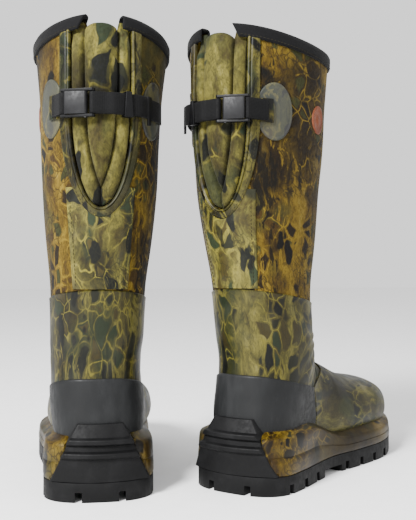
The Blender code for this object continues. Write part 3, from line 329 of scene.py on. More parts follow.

# %% [markdown]
# ## Finishes: a small workbench for node materials
#
# Every finish here is painted by nodes and needs the same few moves: take the print's
# coordinates, stretch them, make noise or cells, turn a value into a dye, mix two dyes, and
# press a height into the surface. The class below keeps those moves short. Numbers that hold
# for the whole finish are set straight on the shader.

# %% The workbench
class Finish:
    """One material, painted in the coordinates kept on each piece's points."""

    def __init__(self, name, roughness=0.6, metallic=0.0, **fixed):
        self.material = bpy.data.materials.new(name)
        self.material.use_nodes = True
        self.tree = self.material.node_tree
        self.shader = self.tree.nodes["Principled BSDF"]
        self.shader.inputs["Roughness"].default_value = roughness
        self.shader.inputs["Metallic"].default_value = metallic
        self.shader.inputs["Specular IOR Level"].default_value = 0.5 if metallic else 0.12
        for socket, value in fixed.items():
            self.shader.inputs[socket.replace("_", " ").title()].default_value = value
        place = self.tree.nodes.new("ShaderNodeAttribute")
        place.attribute_name = "print_place"
        self.place = place.outputs["Vector"]

    def add(self, kind, sockets, settings=None, out=0):
        """A node with its settings and sockets; a socket's value may be another node's output."""
        node = self.tree.nodes.new("ShaderNode" + kind)
        for key, value in (settings or {}).items():
            setattr(node, key, value)
        for key, value in sockets.items():
            if isinstance(value, bpy.types.NodeSocket):
                self.tree.links.new(value, node.inputs[key])
            else:
                node.inputs[key].default_value = value
        return node.outputs[out]

    def stretch(self, vector, scale, shift=(0, 0, 0), turn=(0, 0, 0)):
        return self.add("Mapping", {"Vector": vector, "Scale": scale, "Location": shift, "Rotation": turn})

    def warp(self, vector, scale, amount):
        """Coordinates pushed about by slow noise, so that nothing runs dead straight."""
        push = self.add("TexNoise", {"Vector": vector, "Scale": scale, "Detail": 2.0}, out="Color")
        centred = self.add("VectorMath", {0: push, 1: (0.5, 0.5, 0.5)}, {"operation": "SUBTRACT"})
        sized = self.add("VectorMath", {0: centred, "Scale": amount}, {"operation": "SCALE"})
        return self.add("VectorMath", {0: vector, 1: sized}, {"operation": "ADD"})

    def noise(self, vector, scale, detail=3.0, roughness=0.5):
        return self.add("TexNoise", {"Vector": vector, "Scale": scale, "Detail": detail,
                                     "Roughness": roughness})

    def waves(self, vector, scale, distortion, direction, detail=2.0):
        return self.add("TexWave", {"Vector": vector, "Scale": scale, "Distortion": distortion,
                                    "Detail": detail}, {"bands_direction": direction}, "Fac")

    def cells(self, vector, scale, feature="F1", out="Distance"):
        return self.add("TexVoronoi", {"Vector": vector, "Scale": scale}, {"feature": feature}, out)

    def dye(self, value, stops, interpolation="LINEAR"):
        """A colour for each value, from (value, colour) stops."""
        node = self.tree.nodes.new("ShaderNodeValToRGB")
        node.color_ramp.interpolation = interpolation
        ramp = node.color_ramp.elements
        while len(ramp) < len(stops):
            ramp.new(0.5)
        for element, (at, colour) in zip(ramp, stops):
            element.position = at
            element.color = (*colour, 1.0)
        self.tree.links.new(value, node.inputs["Fac"])
        return node.outputs["Color"]

    def between(self, value, low, high, bottom=0.0, top=1.0):
        """The value, spread so that low gives bottom and high gives top, and held beyond them."""
        return self.add("MapRange", {"Value": value, "From Min": low, "From Max": high,
                                     "To Min": bottom, "To Max": top}, {"interpolation_type": "SMOOTHSTEP"})

    def sum(self, operation, a, b):
        return self.add("Math", {0: a, 1: b}, {"operation": operation})

    def mix(self, share, a, b, blend="MIX"):
        """Two dyes mixed; share 0 is the first."""
        node = self.tree.nodes.new("ShaderNodeMix")
        node.data_type = "RGBA"
        node.blend_type = blend
        for socket, value in ((node.inputs[0], share), (node.inputs[6], a), (node.inputs[7], b)):
            if isinstance(value, bpy.types.NodeSocket):
                self.tree.links.new(value, socket)
            else:
                socket.default_value = value if isinstance(value, float) else (*value, 1.0)
        return node.outputs[2]

    def colour(self, socket):
        self.tree.links.new(socket, self.shader.inputs["Base Color"])

    def gloss(self, socket):
        self.tree.links.new(socket, self.shader.inputs["Roughness"])

    def press(self, height, distance, strength=1.0):
        """Press a height into the surface, so deep, on top of what was pressed before."""
        node = self.tree.nodes.new("ShaderNodeBump")
        node.inputs["Strength"].default_value = strength
        node.inputs["Distance"].default_value = distance
        self.tree.links.new(height, node.inputs["Height"])
        normal = self.shader.inputs["Normal"]
        if normal.is_linked:
            self.tree.links.new(normal.links[0].from_socket, node.inputs["Normal"])
        self.tree.links.new(node.outputs["Normal"], normal)


DYE_RICHNESS = 1.2              # how far a dye stands from grey, against the chart
DYE_STRENGTH = 0.22             # the studio is bright, so the dyes are held back


def srgb(red, green, blue):
    """A dye named by the 0 to 255 values that a colour chart prints."""
    def linear(v):
        v /= 255
        return v / 12.92 if v <= 0.04045 else ((v + 0.055) / 1.055) ** 2.4
    dye = [linear(v) for v in (red, green, blue)]
    grey = sum(dye) / 3
    return tuple(DYE_STRENGTH * max(grey + DYE_RICHNESS * (v - grey), 0.002) for v in dye)


print("workbench ready")

# %% [markdown]
# ## Woodland print
#
# Camouflage cloth and dipped rubber carry the same kind of print: a mottled ground of ochre and
# brown, long bark-like streaks that run down the leg, patches of dark cells with pale veins
# between them, a few near-black leaf shapes and a fine crackle. Real prints copy true leaves and
# bark. Ours is made of layered noise and cells, so it repeats nothing and belongs to nobody.
# The cloth is warmer and lighter, and the rubber is greener and more bent about. The rear panel,
# the gusset, the patches and the sidewall take the same dyes lighter, duller or darker.

# %% The print as one function
def woodland(finish, dyes, cell_scale=88, cell_share=0.50, streak_share=0.47, crackle=0.7, shift=(0, 0, 0),
             bend=0.022, cell_height=0.55):
    """The print's colour. dyes: pale, light, mid, brown, dark, deep, vein, leaf."""
    pale, light, mid, brown, dark, deep, vein, leaf = (dyes[k] for k in (
        "pale", "light", "mid", "brown", "dark", "deep", "vein", "leaf"))
    place = finish.add("VectorMath", {0: finish.place, 1: shift}, {"operation": "ADD"})
    bent = finish.warp(place, 30, bend)
    long_ways = finish.stretch(bent, (1, 1, 0.38))

    ground = finish.noise(long_ways, 38, 7, 0.72)
    colour = finish.dye(ground, [(0.33, dark), (0.42, brown), (0.50, mid), (0.58, light), (0.70, pale)])

    # large areas where the ground turns darker, and where it turns to grey-green
    area = finish.between(finish.noise(place, 9, 2), 0.50, 0.62, 0.0, 0.75)
    colour = finish.mix(area, colour, brown, "MULTIPLY")
    green_area = finish.noise(finish.stretch(place, (1, 1, 0.6), (3, 1, 2)), 15, 3)
    green = finish.between(green_area, 0.54, 0.62, 0.0, 0.7)
    colour = finish.mix(green, colour, leaf)

    # dark cells with pale veins between them
    cell_place = finish.stretch(bent, (1, 1, cell_height), (0.7, 0.1, 0.3))
    edge = finish.cells(cell_place, cell_scale, "DISTANCE_TO_EDGE")
    tint = finish.cells(cell_place, cell_scale, "F1", "Color")
    tint_value = finish.add("SeparateColor", {"Color": tint})
    inside = finish.between(edge, 0.11, 0.16)
    cell_dye = finish.dye(tint_value, [(0.0, deep), (0.35, dark), (0.6, leaf), (0.85, brown)], "CONSTANT")
    region = finish.between(finish.noise(place, 17, 2), cell_share, cell_share + 0.04)
    chosen = finish.between(tint_value, 0.22, 0.24)
    fading = finish.between(finish.noise(place, 60, 2), 0.38, 0.60, 0.15, 0.85)
    line = finish.between(edge, 0.01, 0.06, 1.0, 0.0)
    veins = finish.sum("MULTIPLY", finish.sum("MULTIPLY", region, fading), line)
    colour = finish.mix(veins, colour, vein)
    covered = finish.sum("MULTIPLY", finish.sum("MULTIPLY", region, inside), chosen)
    colour = finish.mix(covered, colour, cell_dye)

    # bark: long thin streaks down the leg
    bark = finish.noise(finish.stretch(bent, (1, 1, 0.10)), 150, 5, 0.65)
    bark_region = finish.between(finish.noise(finish.stretch(place, (1, 1, 0.5), (1, 5, 2)), 13, 2),
                                 streak_share, streak_share + 0.08)
    streak = finish.sum("MULTIPLY", bark_region, finish.between(bark, 0.53, 0.60, 0.0, 0.9))
    colour = finish.mix(streak, colour, deep)
    pale_streak = finish.sum("MULTIPLY", bark_region, finish.between(bark, 0.38, 0.44, 0.75, 0.0))
    colour = finish.mix(pale_streak, colour, light)

    # near-black leaf shapes
    leaf_place = finish.stretch(finish.warp(place, 55, 0.012), (1, 1, 0.36), (0.2, 0.4, 0.9), (0, 0.35, 0.3))
    leaf_near = finish.cells(leaf_place, 62)
    leaf_tint = finish.add("SeparateColor", {"Color": finish.cells(leaf_place, 62, "F1", "Color")}, out=1)
    shape = finish.sum("MULTIPLY", finish.between(leaf_near, 0.26, 0.32, 1.0, 0.0),
                       finish.between(leaf_tint, 0.60, 0.62))
    colour = finish.mix(shape, colour, deep)

    # crackle and speckle
    crack_edge = finish.cells(finish.stretch(bent, (1, 1, 0.5)), 210, "DISTANCE_TO_EDGE")
    crack = finish.sum("MULTIPLY", finish.between(crack_edge, 0.02, 0.09, crackle, 0.0),
                       finish.between(finish.noise(place, 21, 2), 0.48, 0.58))
    colour = finish.mix(crack, colour, dark)
    speckle = finish.noise(finish.stretch(place, (1, 1, 0.45)), 620, 3, 0.7)
    return finish.mix(finish.between(speckle, 0.50, 0.66, 0.0, 0.40), colour, dark), speckle


CLOTH_DYES = {"pale": srgb(214, 194, 122), "light": srgb(176, 148, 72), "mid": srgb(134, 110, 50),
              "brown": srgb(88, 68, 34), "dark": srgb(46, 36, 20), "deep": srgb(17, 15, 10),
              "vein": srgb(186, 158, 76), "leaf": srgb(74, 76, 42)}
RUBBER_DYES = {"pale": srgb(184, 176, 118), "light": srgb(146, 138, 78), "mid": srgb(106, 101, 56),
               "brown": srgb(76, 68, 38), "dark": srgb(42, 43, 29), "deep": srgb(17, 19, 14),
               "vein": srgb(160, 150, 78), "leaf": srgb(50, 60, 40)}
GUSSET_DYES = {key: tuple(1.25 * v for v in dye) for key, dye in RUBBER_DYES.items()}
PATCH_DYES = {key: tuple(0.75 * v + 0.02 for v in dye) for key, dye in RUBBER_DYES.items()}
SPINE_DYES = {key: tuple(1.7 * v for v in dye) for key, dye in RUBBER_DYES.items()}
SIDEWALL_DYES = {key: tuple(0.8 * v for v in dye) for key, dye in CLOTH_DYES.items()}
print("dyes mixed:", len(CLOTH_DYES), "for cloth,", len(RUBBER_DYES), "for rubber")

# %% [markdown]
# ## Cloth, rubber, tape, plastic and steel
#
# The print is only the colour. What the hand feels comes from the base: a plain weave of about
# two threads to a millimetre for the shaft, a soft stretch knit for the gusset, smooth dipped
# rubber that shines a little, matt moulded rubber for the guard and the tread, ribbed webbing,
# and moulded plastic with a fine spark-eroded grain. Each gets its own roughness and bump.

# %% Printed cloth and printed rubber
def weave(finish, threads, depth):
    """Threads over and under: two sets of waves at right angles."""
    across = finish.waves(finish.place, threads, 0.4, "Z")
    turned = finish.stretch(finish.place, (1, 1, 0), turn=(0, 0, 0.6))
    down = finish.waves(turned, threads, 0.4, "DIAGONAL")
    finish.press(finish.sum("MULTIPLY", across, down), depth, 0.6)


def printed_cloth(name, dyes, threads, depth, fuzz, **print_settings):
    finish = Finish(name, sheen_weight=fuzz, sheen_roughness=0.5)
    colour, speckle = woodland(finish, dyes, **print_settings)
    finish.colour(colour)
    finish.gloss(finish.between(speckle, 0.3, 0.7, 0.72, 0.94))
    finish.press(finish.noise(finish.place, 90, 3), 1.2 * MM, 0.35)
    weave(finish, threads, depth)
    return finish.material


def printed_rubber(name, dyes, shine, **print_settings):
    finish = Finish(name, coat_weight=shine, coat_roughness=0.28)
    colour, speckle = woodland(finish, dyes, **print_settings)
    haze = finish.noise(finish.place, 45, 4)
    colour = finish.mix(finish.between(haze, 0.50, 0.75, 0.0, 0.12), colour, srgb(150, 150, 128))
    finish.colour(colour)
    finish.gloss(finish.between(haze, 0.35, 0.65, 0.40, 0.58))
    finish.press(finish.noise(finish.place, 500, 4), 0.15 * MM, 0.4)
    finish.press(finish.noise(finish.place, 60, 2), 1.0 * MM, 0.25)
    return finish.material


shaft_cloth = printed_cloth(
    "shaft_cloth", CLOTH_DYES, 330, 0.10 * MM, 0.02,
    cell_scale=84, cell_share=0.45, streak_share=0.51, cell_height=0.65)
gusset_cloth = printed_cloth(
    "gusset_cloth", GUSSET_DYES, 450, 0.06 * MM, 0.03,
    cell_scale=70, cell_share=0.52, streak_share=0.60, crackle=0.3, shift=(0.31, 0.12, 0.08))
foot_rubber = printed_rubber(
    "foot_rubber", RUBBER_DYES, 0.05, bend=0.034, cell_height=0.8,
    cell_scale=82, cell_share=0.36, streak_share=0.50, crackle=0.35, shift=(0.13, 0.4, 0.22))
band_rubber = printed_rubber(
    "band_rubber", RUBBER_DYES, 0.03,
    cell_scale=75, cell_share=0.56, streak_share=0.42, shift=(0.52, 0.3, 0.65))
vamp_skin = printed_rubber(
    "vamp_skin", GUSSET_DYES, 0.08, bend=0.034,
    cell_scale=76, cell_share=0.44, streak_share=0.52, crackle=0.3, shift=(0.9, 0.2, 0.35))
spine_rubber = printed_rubber(
    "spine_rubber", SPINE_DYES, 0.03, bend=0.03,
    cell_scale=80, cell_share=0.40, streak_share=0.52, shift=(0.7, 0.1, 0.9))
sidewall_rubber = printed_rubber(
    "sidewall_rubber", SIDEWALL_DYES, 0.03, cell_height=1.0,
    cell_scale=120, cell_share=0.50, streak_share=0.62, shift=(0.25, 0.75, 0.1))
patch_rubber = printed_rubber(
    "patch_rubber", PATCH_DYES, 0.05, bend=0.03,
    cell_scale=60, cell_share=0.50, streak_share=0.50, crackle=0.4, shift=(0.45, 0.05, 0.5))
print("eight printed finishes made")

# %% Plain finishes
def moulded(name, colour, roughness, grain=700, depth=0.05 * MM, shade=0.35, **fixed):
    """Moulded rubber or plastic: a plain colour with slow clouding, dust and a fine grain."""
    finish = Finish(name, roughness, **fixed)
    clouds = finish.noise(finish.place, 35, 5, 0.6)
    light = tuple(min(1.0, v * (1 + 2 * shade) + 0.002) for v in colour)
    dark = tuple(v * (1 - shade) for v in colour)
    base = finish.dye(clouds, [(0.35, dark), (0.5, colour), (0.68, light)])
    dust = finish.noise(finish.stretch(finish.place, (1, 1, 0.7)), 260, 4, 0.75)
    dusty = tuple(0.85 * v + 0.008 for v in light)
    finish.colour(finish.mix(finish.between(dust, 0.56, 0.78, 0.0, 0.55), base, dusty))
    finish.gloss(finish.between(dust, 0.35, 0.7, roughness - 0.06, min(roughness + 0.14, 1.0)))
    finish.press(finish.noise(finish.place, grain, 3, 0.7), depth, 0.5)
    finish.press(clouds, 0.6 * MM, 0.15)
    return finish.material


def knit_tape(name):
    """Folded knit tape: fine wales that run over the edge, with a soft fuzz."""
    finish = Finish(name, sheen_weight=0.04, sheen_roughness=0.4)
    wales = finish.waves(finish.place, 420, 1.5, "Z")
    fuzz = finish.noise(finish.place, 900, 3, 0.7)
    finish.colour(finish.dye(fuzz, [(0.3, srgb(12, 12, 13)), (0.55, srgb(26, 26, 28)),
                                    (0.8, srgb(46, 46, 49))]))
    finish.gloss(finish.between(fuzz, 0.3, 0.7, 0.78, 0.95))
    finish.press(wales, 0.18 * MM, 0.6)
    finish.press(fuzz, 0.15 * MM, 0.5)
    return finish.material


def webbing_tape(name):
    """Woven webbing: ribs across the strap and a finer rib along it. x runs along, z across."""
    finish = Finish(name, sheen_weight=0.02, sheen_roughness=0.4)
    ribs = finish.waves(finish.place, 190, 0.3, "X")
    ends = finish.waves(finish.place, 260, 0.5, "Z")
    yarn = finish.noise(finish.place, 800, 3, 0.7)
    woven = finish.sum("MULTIPLY", ribs, ends)
    shade = finish.sum("ADD", finish.sum("MULTIPLY", woven, 0.5), finish.sum("MULTIPLY", yarn, 0.5))
    finish.colour(finish.dye(shade, [(0.15, srgb(9, 9, 10)), (0.5, srgb(22, 22, 23)),
                                     (0.85, srgb(42, 42, 44))]))
    finish.gloss(finish.between(yarn, 0.3, 0.7, 0.66, 0.86))
    finish.press(woven, 0.22 * MM, 0.8)
    return finish.material


def brushed_steel(name, roughness):
    finish = Finish(name, roughness, 1.0)
    lines = finish.noise(finish.stretch(finish.place, (1, 1, 0.05)), 900, 3, 0.7)
    finish.colour(finish.dye(lines, [(0.3, srgb(150, 150, 152)), (0.7, srgb(205, 205, 206))]))
    finish.gloss(finish.between(lines, 0.3, 0.7, roughness, roughness + 0.2))
    finish.press(lines, 0.03 * MM, 0.4)
    return finish.material


binding_knit = knit_tape("binding_knit")
strap_webbing = webbing_tape("strap_webbing")
guard_rubber = moulded("guard_rubber", srgb(54, 55, 56), 0.50, 900, 0.03 * MM, 0.20)
tread_rubber = moulded("tread_rubber", srgb(27, 27, 28), 0.62, 420, 0.08 * MM, 0.30)
lever_plastic = moulded("lever_plastic", srgb(46, 46, 48), 0.45, 900, 0.03 * MM, 0.12)
black_plastic = moulded("black_plastic", srgb(24, 24, 26), 0.45, 900, 0.03 * MM, 0.20)
lining_fleece = moulded("lining_fleece", srgb(58, 54, 48), 0.95, 380, 0.5 * MM, 0.40, sheen_weight=0.3)
insulation_foam = moulded("insulation_foam", srgb(60, 60, 60), 0.92, 260, 0.3 * MM, 0.25)
footbed_foam = moulded("footbed_foam", srgb(70, 72, 74), 0.9, 300, 0.3 * MM, 0.30, sheen_weight=0.2)
midsole_foam = moulded("midsole_foam", srgb(78, 78, 76), 0.85, 240, 0.25 * MM, 0.25)
badge_enamel = moulded("badge_enamel", srgb(170, 104, 78), 0.5, 700, 0.04 * MM, 0.25)
thread = moulded("stitching_thread", srgb(70, 66, 50), 0.8, 1500, 0.05 * MM, 0.30)
shank_steel = brushed_steel("shank_steel", 0.35)
pin_steel = brushed_steel("pin_steel", 0.25)
print("materials made:", len(bpy.data.materials))

# %% [markdown]
# ## The shaft
#
# The shaft is stiff printed cloth bonded to insulation, a tapering tube with a U-shaped notch at
# the rear for the gusset. We could cut that notch with a Boolean, but a cut edge on a fine grid
# is ragged. The rubber band hides the notch's edge anyway, so the tube stays whole and sinks
# behind the gusset there, like the seam allowance that a real gusset is sewn to.

# %% The gusset's U, and places on the rear of the shaft
SHAFT_WALL = 5.5 * MM
GUSSET_HALF = 27 * MM
GUSSET_DEPTH = 172 * MM
GUSSET_ARC = 88 * MM
EAR_HALF_GAP = 16.5 * MM
RIM_HALF_WIDTH = 64.5 * MM
GUSSET_TOP = BOOT_HEIGHT - 9 * MM
FRAME_BAND = 9 * MM
RIM = place_of_height(BOOT_HEIGHT - 2 * MM)


def u_half_width(height, grow=0.0):
    """Half the width of the gusset's U at a height, grown outward all round."""
    arc = GUSSET_ARC + grow
    rise = np.clip((BOOT_HEIGHT - GUSSET_DEPTH - grow + arc - height) / arc, 0, 1)
    return (GUSSET_HALF + grow) * np.sqrt(1 - rise**2)


def u_lowest(x, grow=0.0):
    """The height of the U's edge at a distance from its middle."""
    arc = GUSSET_ARC + grow
    share = np.clip(np.abs(x) / (GUSSET_HALF + grow), 0, 1)
    return BOOT_HEIGHT - GUSSET_DEPTH - grow + arc * (1 - np.sqrt(1 - share**2))


def rear_place(x, height):
    """The place and angle on the rear of the shaft of points given by x and height."""
    x, height = np.broadcast_arrays(np.asarray(x, float), np.asarray(height, float))
    place = place_of_height(height)
    for _ in range(7):
        width, shift = smooth(SHAFT_RINGS, 3, 1 - place) * MM, smooth(SHAFT_RINGS, 4, 1 - place) * MM
        across = np.clip((x - shift) / (width / 2), -0.999, 0.999)
        angle = np.arcsin(np.sign(across) * np.abs(across) ** (smooth(SQUARENESS, 1, place) / 2))
        place = place + (form(place, angle)[..., 2] - height) / (BOOT_HEIGHT - ANKLE_HEIGHT)
    return place, angle


def rear_sheet(name, x, height, depth, wall, offset=(0, 0, 0), sharp=40):
    place, angle = rear_place(x, height)
    return form_sheet(name, place, angle, depth, wall, False, offset, sharp)


def rim_fall(x):
    """How far the rim lies below its rear, at a distance from the rear's middle."""
    rearward = np.sqrt(1 - np.clip(np.abs(x) / RIM_HALF_WIDTH, 0, 1) ** 2)
    even = RIM_FRONT_DROP / 2 - RIM_SIDE_DROP
    return RIM_SIDE_DROP - RIM_FRONT_DROP / 2 * rearward + even * rearward**2


def step_up(value, start, end):
    t = np.clip((value - start) / (end - start), 0, 1)
    return t * t * (3 - 2 * t)


print("the U is", round(float(2 * u_half_width(0.43)) / MM, 1), "mm wide at the top")

# %% Make the shaft
SHAFT_COLUMNS = 160
SHAFT_ROWS = 100
SUNK_BEHIND = 7.4 * MM          # how far the shaft gives way behind the gusset
turns = full_turn(SHAFT_COLUMNS)
signed = np.where(turns > math.pi, turns - 2 * math.pi, turns)


def rim_places(deep):
    """The top edge all round: it dips behind the gusset, between the two ends of the binding."""
    gap = step_up(-np.abs(signed), -math.radians(19), -math.radians(14))
    return RIM + gap * deep / (BOOT_HEIGHT - ANKLE_HEIGHT)


top = rim_places(20 * MM)
place = top + (BOOTIE_EDGE + 0.012 - top) * steps(SHAFT_ROWS, 0.004)[:, None]
points = form(place, turns)
beside = np.abs(points[..., 0]) - u_half_width(points[..., 2])
behind = (1 - step_up(beside, 1 * MM, 6 * MM)) * (np.cos(turns) > 0)
depth = -SUNK_BEHIND * behind + 0.45 * MM * lumps(points, 38 * MM) * (1 - behind)
mesh = form_sheet("shaft", place, turns, depth, depth + SHAFT_WALL + 0.4 * MM + 1.9 * MM * behind, True)
set_piece("shaft", mesh, shaft_cloth, "camo_fabric")

# %% [markdown]
# ## The gusset
#
# The gusset is a soft panel that lets the shaft open for a thick calf. With the strap drawn up,
# it folds into a middle pillow with a roll on each side, and the two creases between them run
# down and meet in a V. It could be a cloth simulation, but the folds are pressed in at the
# factory and always fall the same way, so we lay them out: half-round sections for the pillow
# and the rolls, a narrow dip for each crease, and a little unevenness that slackens with depth.

# %% Make the gusset
V_BOTTOM = 283 * MM
STRAP_HEIGHT = BOOT_HEIGHT - 82 * MM
PILLOW_PROUD = 8.6 * MM         # of the form's sunken floor behind the gusset
ROLL_PROUD = 6.6 * MM
CREASE_OUT = 16 * MM            # from the middle to each crease, at the top
ARCH_DROP = 5 * MM              # the pillow's top edge is an arch, so much lower at its ends
TOP_ROUND = 4.5 * MM            # the pillow rolls inward over this height at its top
TOP_TUCK = 4.0 * MM
GUSSET_FLOOR = -4.6 * MM


def gusset_depth(x, height):
    """How far the folded gusset stands out of the form."""
    fall = np.clip((GUSSET_TOP - height) / (GUSSET_TOP - V_BOTTOM), 0, 1)
    crease = CREASE_OUT * (1 - fall**4)
    edge = np.maximum(u_half_width(height), crease + 0.5 * MM)
    across = np.abs(x)
    pillow = np.sqrt(np.clip(1 - (across / np.maximum(crease, 0.1 * MM)) ** 2, 0, 1)) ** 0.75
    pillow = pillow * PILLOW_PROUD * np.clip(crease / (11 * MM), 0, 1) * (across < crease)
    middle, half = (crease + edge) / 2, (edge - crease) / 2
    roll = np.sqrt(np.clip(1 - ((across - middle) / half) ** 2, 0, 1)) ** 0.8 * (across >= crease)
    roll = roll * ROLL_PROUD * np.clip(half / (5 * MM), 0.3, 1)
    roll = roll * (1 - 0.8 * step_up(height, 410 * MM, 426 * MM))   # pressed flat under the binding
    pinch = 1 - 0.30 * np.exp(-((height - STRAP_HEIGHT) / (13 * MM)) ** 2)
    seam = 1.8 * MM * np.exp(-((across - crease) / (1.5 * MM)) ** 2) * (fall < 1)
    return GUSSET_FLOOR + (pillow + roll) * pinch - seam


even = np.linspace(-1, 1, 121)[None, :]
across = 0.65 * even + 0.35 * np.sin(np.linspace(-math.pi / 2, math.pi / 2, 121))[None, :]
down = (1 - (1 - steps(110, 0.003, 0.008)) ** 1.5)[:, None]
top_x = across * (GUSSET_HALF + 1.5 * MM)
arch = 1 - np.clip(np.abs(top_x) / CREASE_OUT, 0, 1) ** 2.5
top = GUSSET_TOP - ARCH_DROP * (1 - arch)
beside = step_up(np.abs(top_x), 15.8 * MM, 17.2 * MM)
top = top + (BOOT_HEIGHT - 6 * MM - rim_fall(top_x) - top) * beside
lowest = BOOT_HEIGHT - GUSSET_DEPTH - 1.2 * MM
height = top + (lowest - top) * down
x = across * u_half_width(height, 1.5 * MM)
stack = np.stack([x, 0 * x, height], -1)
soft = 0.8 * MM * lumps(stack, 17 * MM, 3.0) + 0.35 * MM * lumps(stack * [2.2, 1, 1], 9 * MM, 8.0)
depth = gusset_depth(x, height) + soft * np.clip((GUSSET_HALF - np.abs(x)) / (6 * MM), 0, 1)
roll_over = 1 - edge_round((top - height) + 0 * x, TOP_ROUND)
depth = depth - TOP_TUCK * roll_over * (np.abs(x) < CREASE_OUT)
mesh = rear_sheet("gusset", x, height, np.maximum(depth, -6.8 * MM), 0.5 * MM, (0.2, 0.1, 0.35), 60)
set_piece("gusset", mesh, gusset_cloth, "camo_gusset")

# %% [markdown]
# ## The band round the gusset, and the rear panel
#
# A flat moulded band follows the U and covers the seam. A bead runs along its inner edge and a
# thin groove beside it. Below the U, a panel of the same rubber runs down to the rubber foot.
# Both are sheets on the rear of the shaft, with rounded edges so that they catch the light.

# %% Make the band and the rear panel
FRAME_WALL = 2.0 * MM
SPINE_WALL = 1.1 * MM
GAP = 0.3 * MM
BAND_STRAIGHT = 0.42            # share of half the band that is its straight upper part
BEAD_IN, GROOVE_IN = 1.3 * MM, 2.5 * MM         # from the band's inner edge
SPINE_HALF, SPINE_FLARE = 25 * MM, 6 * MM       # half width at the bottom, and what is added
SPINE_HEIGHT = 91 * MM


def u_path(share, grow):
    """Points along the U: share -1 to 1, from one upper end round the bottom to the other."""
    arc = GUSSET_ARC + grow
    bottom = BOOT_HEIGHT - GUSSET_DEPTH - grow
    bend = np.clip(np.abs(share) / (1 - BAND_STRAIGHT), 0, 1) * math.pi / 2
    up = np.clip((np.abs(share) - (1 - BAND_STRAIGHT)) / BAND_STRAIGHT, 0, 1)
    x = np.sign(share) * (GUSSET_HALF + grow) * np.sin(bend)
    top = BOOT_HEIGHT - 12.4 * MM - rim_fall(x)
    return x, bottom + arc * (1 - np.cos(bend)) + up * (top - bottom - arc)


share = np.linspace(-1, 1, 181)[:, None]
over = FRAME_BAND * np.array([0, 0.02, 0.06, 0.12, 0.18, 0.22, 0.25, 0.28, 0.31, 0.35, 0.5, 0.65, 0.8,
                              0.9, 0.96, 0.985, 1.0])[None, :]
x, height = u_path(share, over)
bead = 0.5 * MM * np.exp(-((over - BEAD_IN) / (0.7 * MM)) ** 2)
groove = 0.8 * MM * np.exp(-((over - GROOVE_IN) / (0.35 * MM)) ** 2)
edges = edge_round(over, 0.8 * MM) * edge_round(FRAME_BAND - over, 1.4 * MM)
depth = GAP + FRAME_WALL * (0.15 + 0.85 * edges) + bead - groove * edges
mesh = rear_sheet("gusset_frame", x, height, depth, depth + 0.6 * MM, (0.05, 0.3, 0.6))
set_piece("gusset_frame", mesh, band_rubber, "camo_band")

across = steps(47, 0.008, 0.02)[None, :] * 2 - 1
spine_top = np.minimum(BOOT_HEIGHT - GUSSET_DEPTH + 18 * MM, u_lowest(across * 31 * MM, 5 * MM))
spine_bottom = BOOTIE_EDGE_HEIGHT + BOOTIE_EDGE_TILT + 0.8 * MM
height = spine_top + (spine_bottom - spine_top) * steps(60)[:, None]
half = SPINE_HALF + SPINE_FLARE * (height - spine_bottom) / SPINE_HEIGHT
x = across * half
inward = (1 - np.abs(across)) * half
groove = 0.45 * MM * np.exp(-((inward - 3.2 * MM) / (0.4 * MM)) ** 2)
depth = GAP + SPINE_WALL * (0.1 + 0.9 * edge_round(inward, 1.2 * MM)) - groove
mesh = rear_sheet("rear_spine", x, height, depth, depth + 0.4 * MM, (0.4, 0.15, 0.1))
set_piece("rear_spine", mesh, spine_rubber, "camo_band")

# %% [markdown]
# ## The binding and the lining
#
# A folded knit tape covers the rim and stops on both sides of the gusset, with two pointed ends.
# It is a sweep: a U-shaped section carried round the rim, whose lower corners move back at the
# outer end so that it is cut aslant. The lining hangs inside it, a little slack.

# %% Make the binding and the lining
BINDING_DEPTH = 13 * MM
LINING_OUT = -(SHAFT_WALL + 0.8 * MM)
LINING_WALL = 1.8 * MM
FOOTBED_OUT = LINING_OUT - LINING_WALL - GAP
# outward and down from the rim, in mm
section = np.array([
    (0.3, 13.0), (1.5, 13.0), (2.2, 12.3), (2.5, 10.5), (2.4, 8.0), (2.4, 5.0), (2.1, 2.6), (1.2, 1.0),
    (-0.4, 0.15), (-2.5, 0.0), (-5.5, 0.0), (-7.6, 0.3), (-9.0, 1.2), (-9.7, 3.0), (-9.9, 7.0),
    (-9.8, 11.5), (-9.4, 12.8), (-8.5, 13.0), (-8.5, 7.0), (-8.4, 1.75), (-4.0, 1.75), (0.25, 1.75),
    (0.25, 7.0)]) * MM
start = math.asin(EAR_HALF_GAP / RIM_HALF_WIDTH)
slant = math.asin(7 * MM / RIM_HALF_WIDTH)
along = steps(170, 0.0012, 0.003)[:, None]
drop = section[None, :, 1]
angle = start + along * (2 * math.pi - 2 * start - slant * drop / BINDING_DEPTH)
place = np.broadcast_to(drop / (BOOT_HEIGHT - ANKLE_HEIGHT), angle.shape)
tuck = 0.6 * edge_round(np.minimum(along, 1 - along) * 0.4, 1.2 * MM) + 0.4
outward = np.where(section[None, :, 0] > 0.5 * MM, section[None, :, 0] * tuck, section[None, :, 0])
points = layer(place, angle, outward)
points = points + (0.35 * MM * lumps(points, 12 * MM, 5.0))[..., None] * [0.7, 0.7, 0.3]
rows, columns = points.shape[:2]
faces = grid_faces(rows, columns, True)
faces += [tuple(range(columns))[::-1], tuple((rows - 1) * columns + c for c in range(columns))]
marks = print_place(place, angle) + np.stack([0 * outward, 0 * outward, outward], -1)
mesh = to_mesh("top_binding", points.reshape(-1, 3), faces, marks.reshape(-1, 3), 50)
set_piece("top_binding", mesh, binding_knit, "binding_tape")

top = rim_places(17 * MM)
place = top + (3.0 - top) * steps(110)[:, None]
points = form(place, turns)
slack = 0.5 * MM * lumps(points, 25 * MM, 2.0) - 0.4 * MM
beside = np.abs(points[..., 0]) - u_half_width(points[..., 2])
slack = slack - 2.4 * MM * (1 - step_up(beside, -1 * MM, 8 * MM)) * (np.cos(turns) > 0) * (place < 1)
mesh = form_sheet("lining", place, turns, LINING_OUT + slack, LINING_WALL, True)
set_piece("lining", mesh, lining_fleece, "lining")

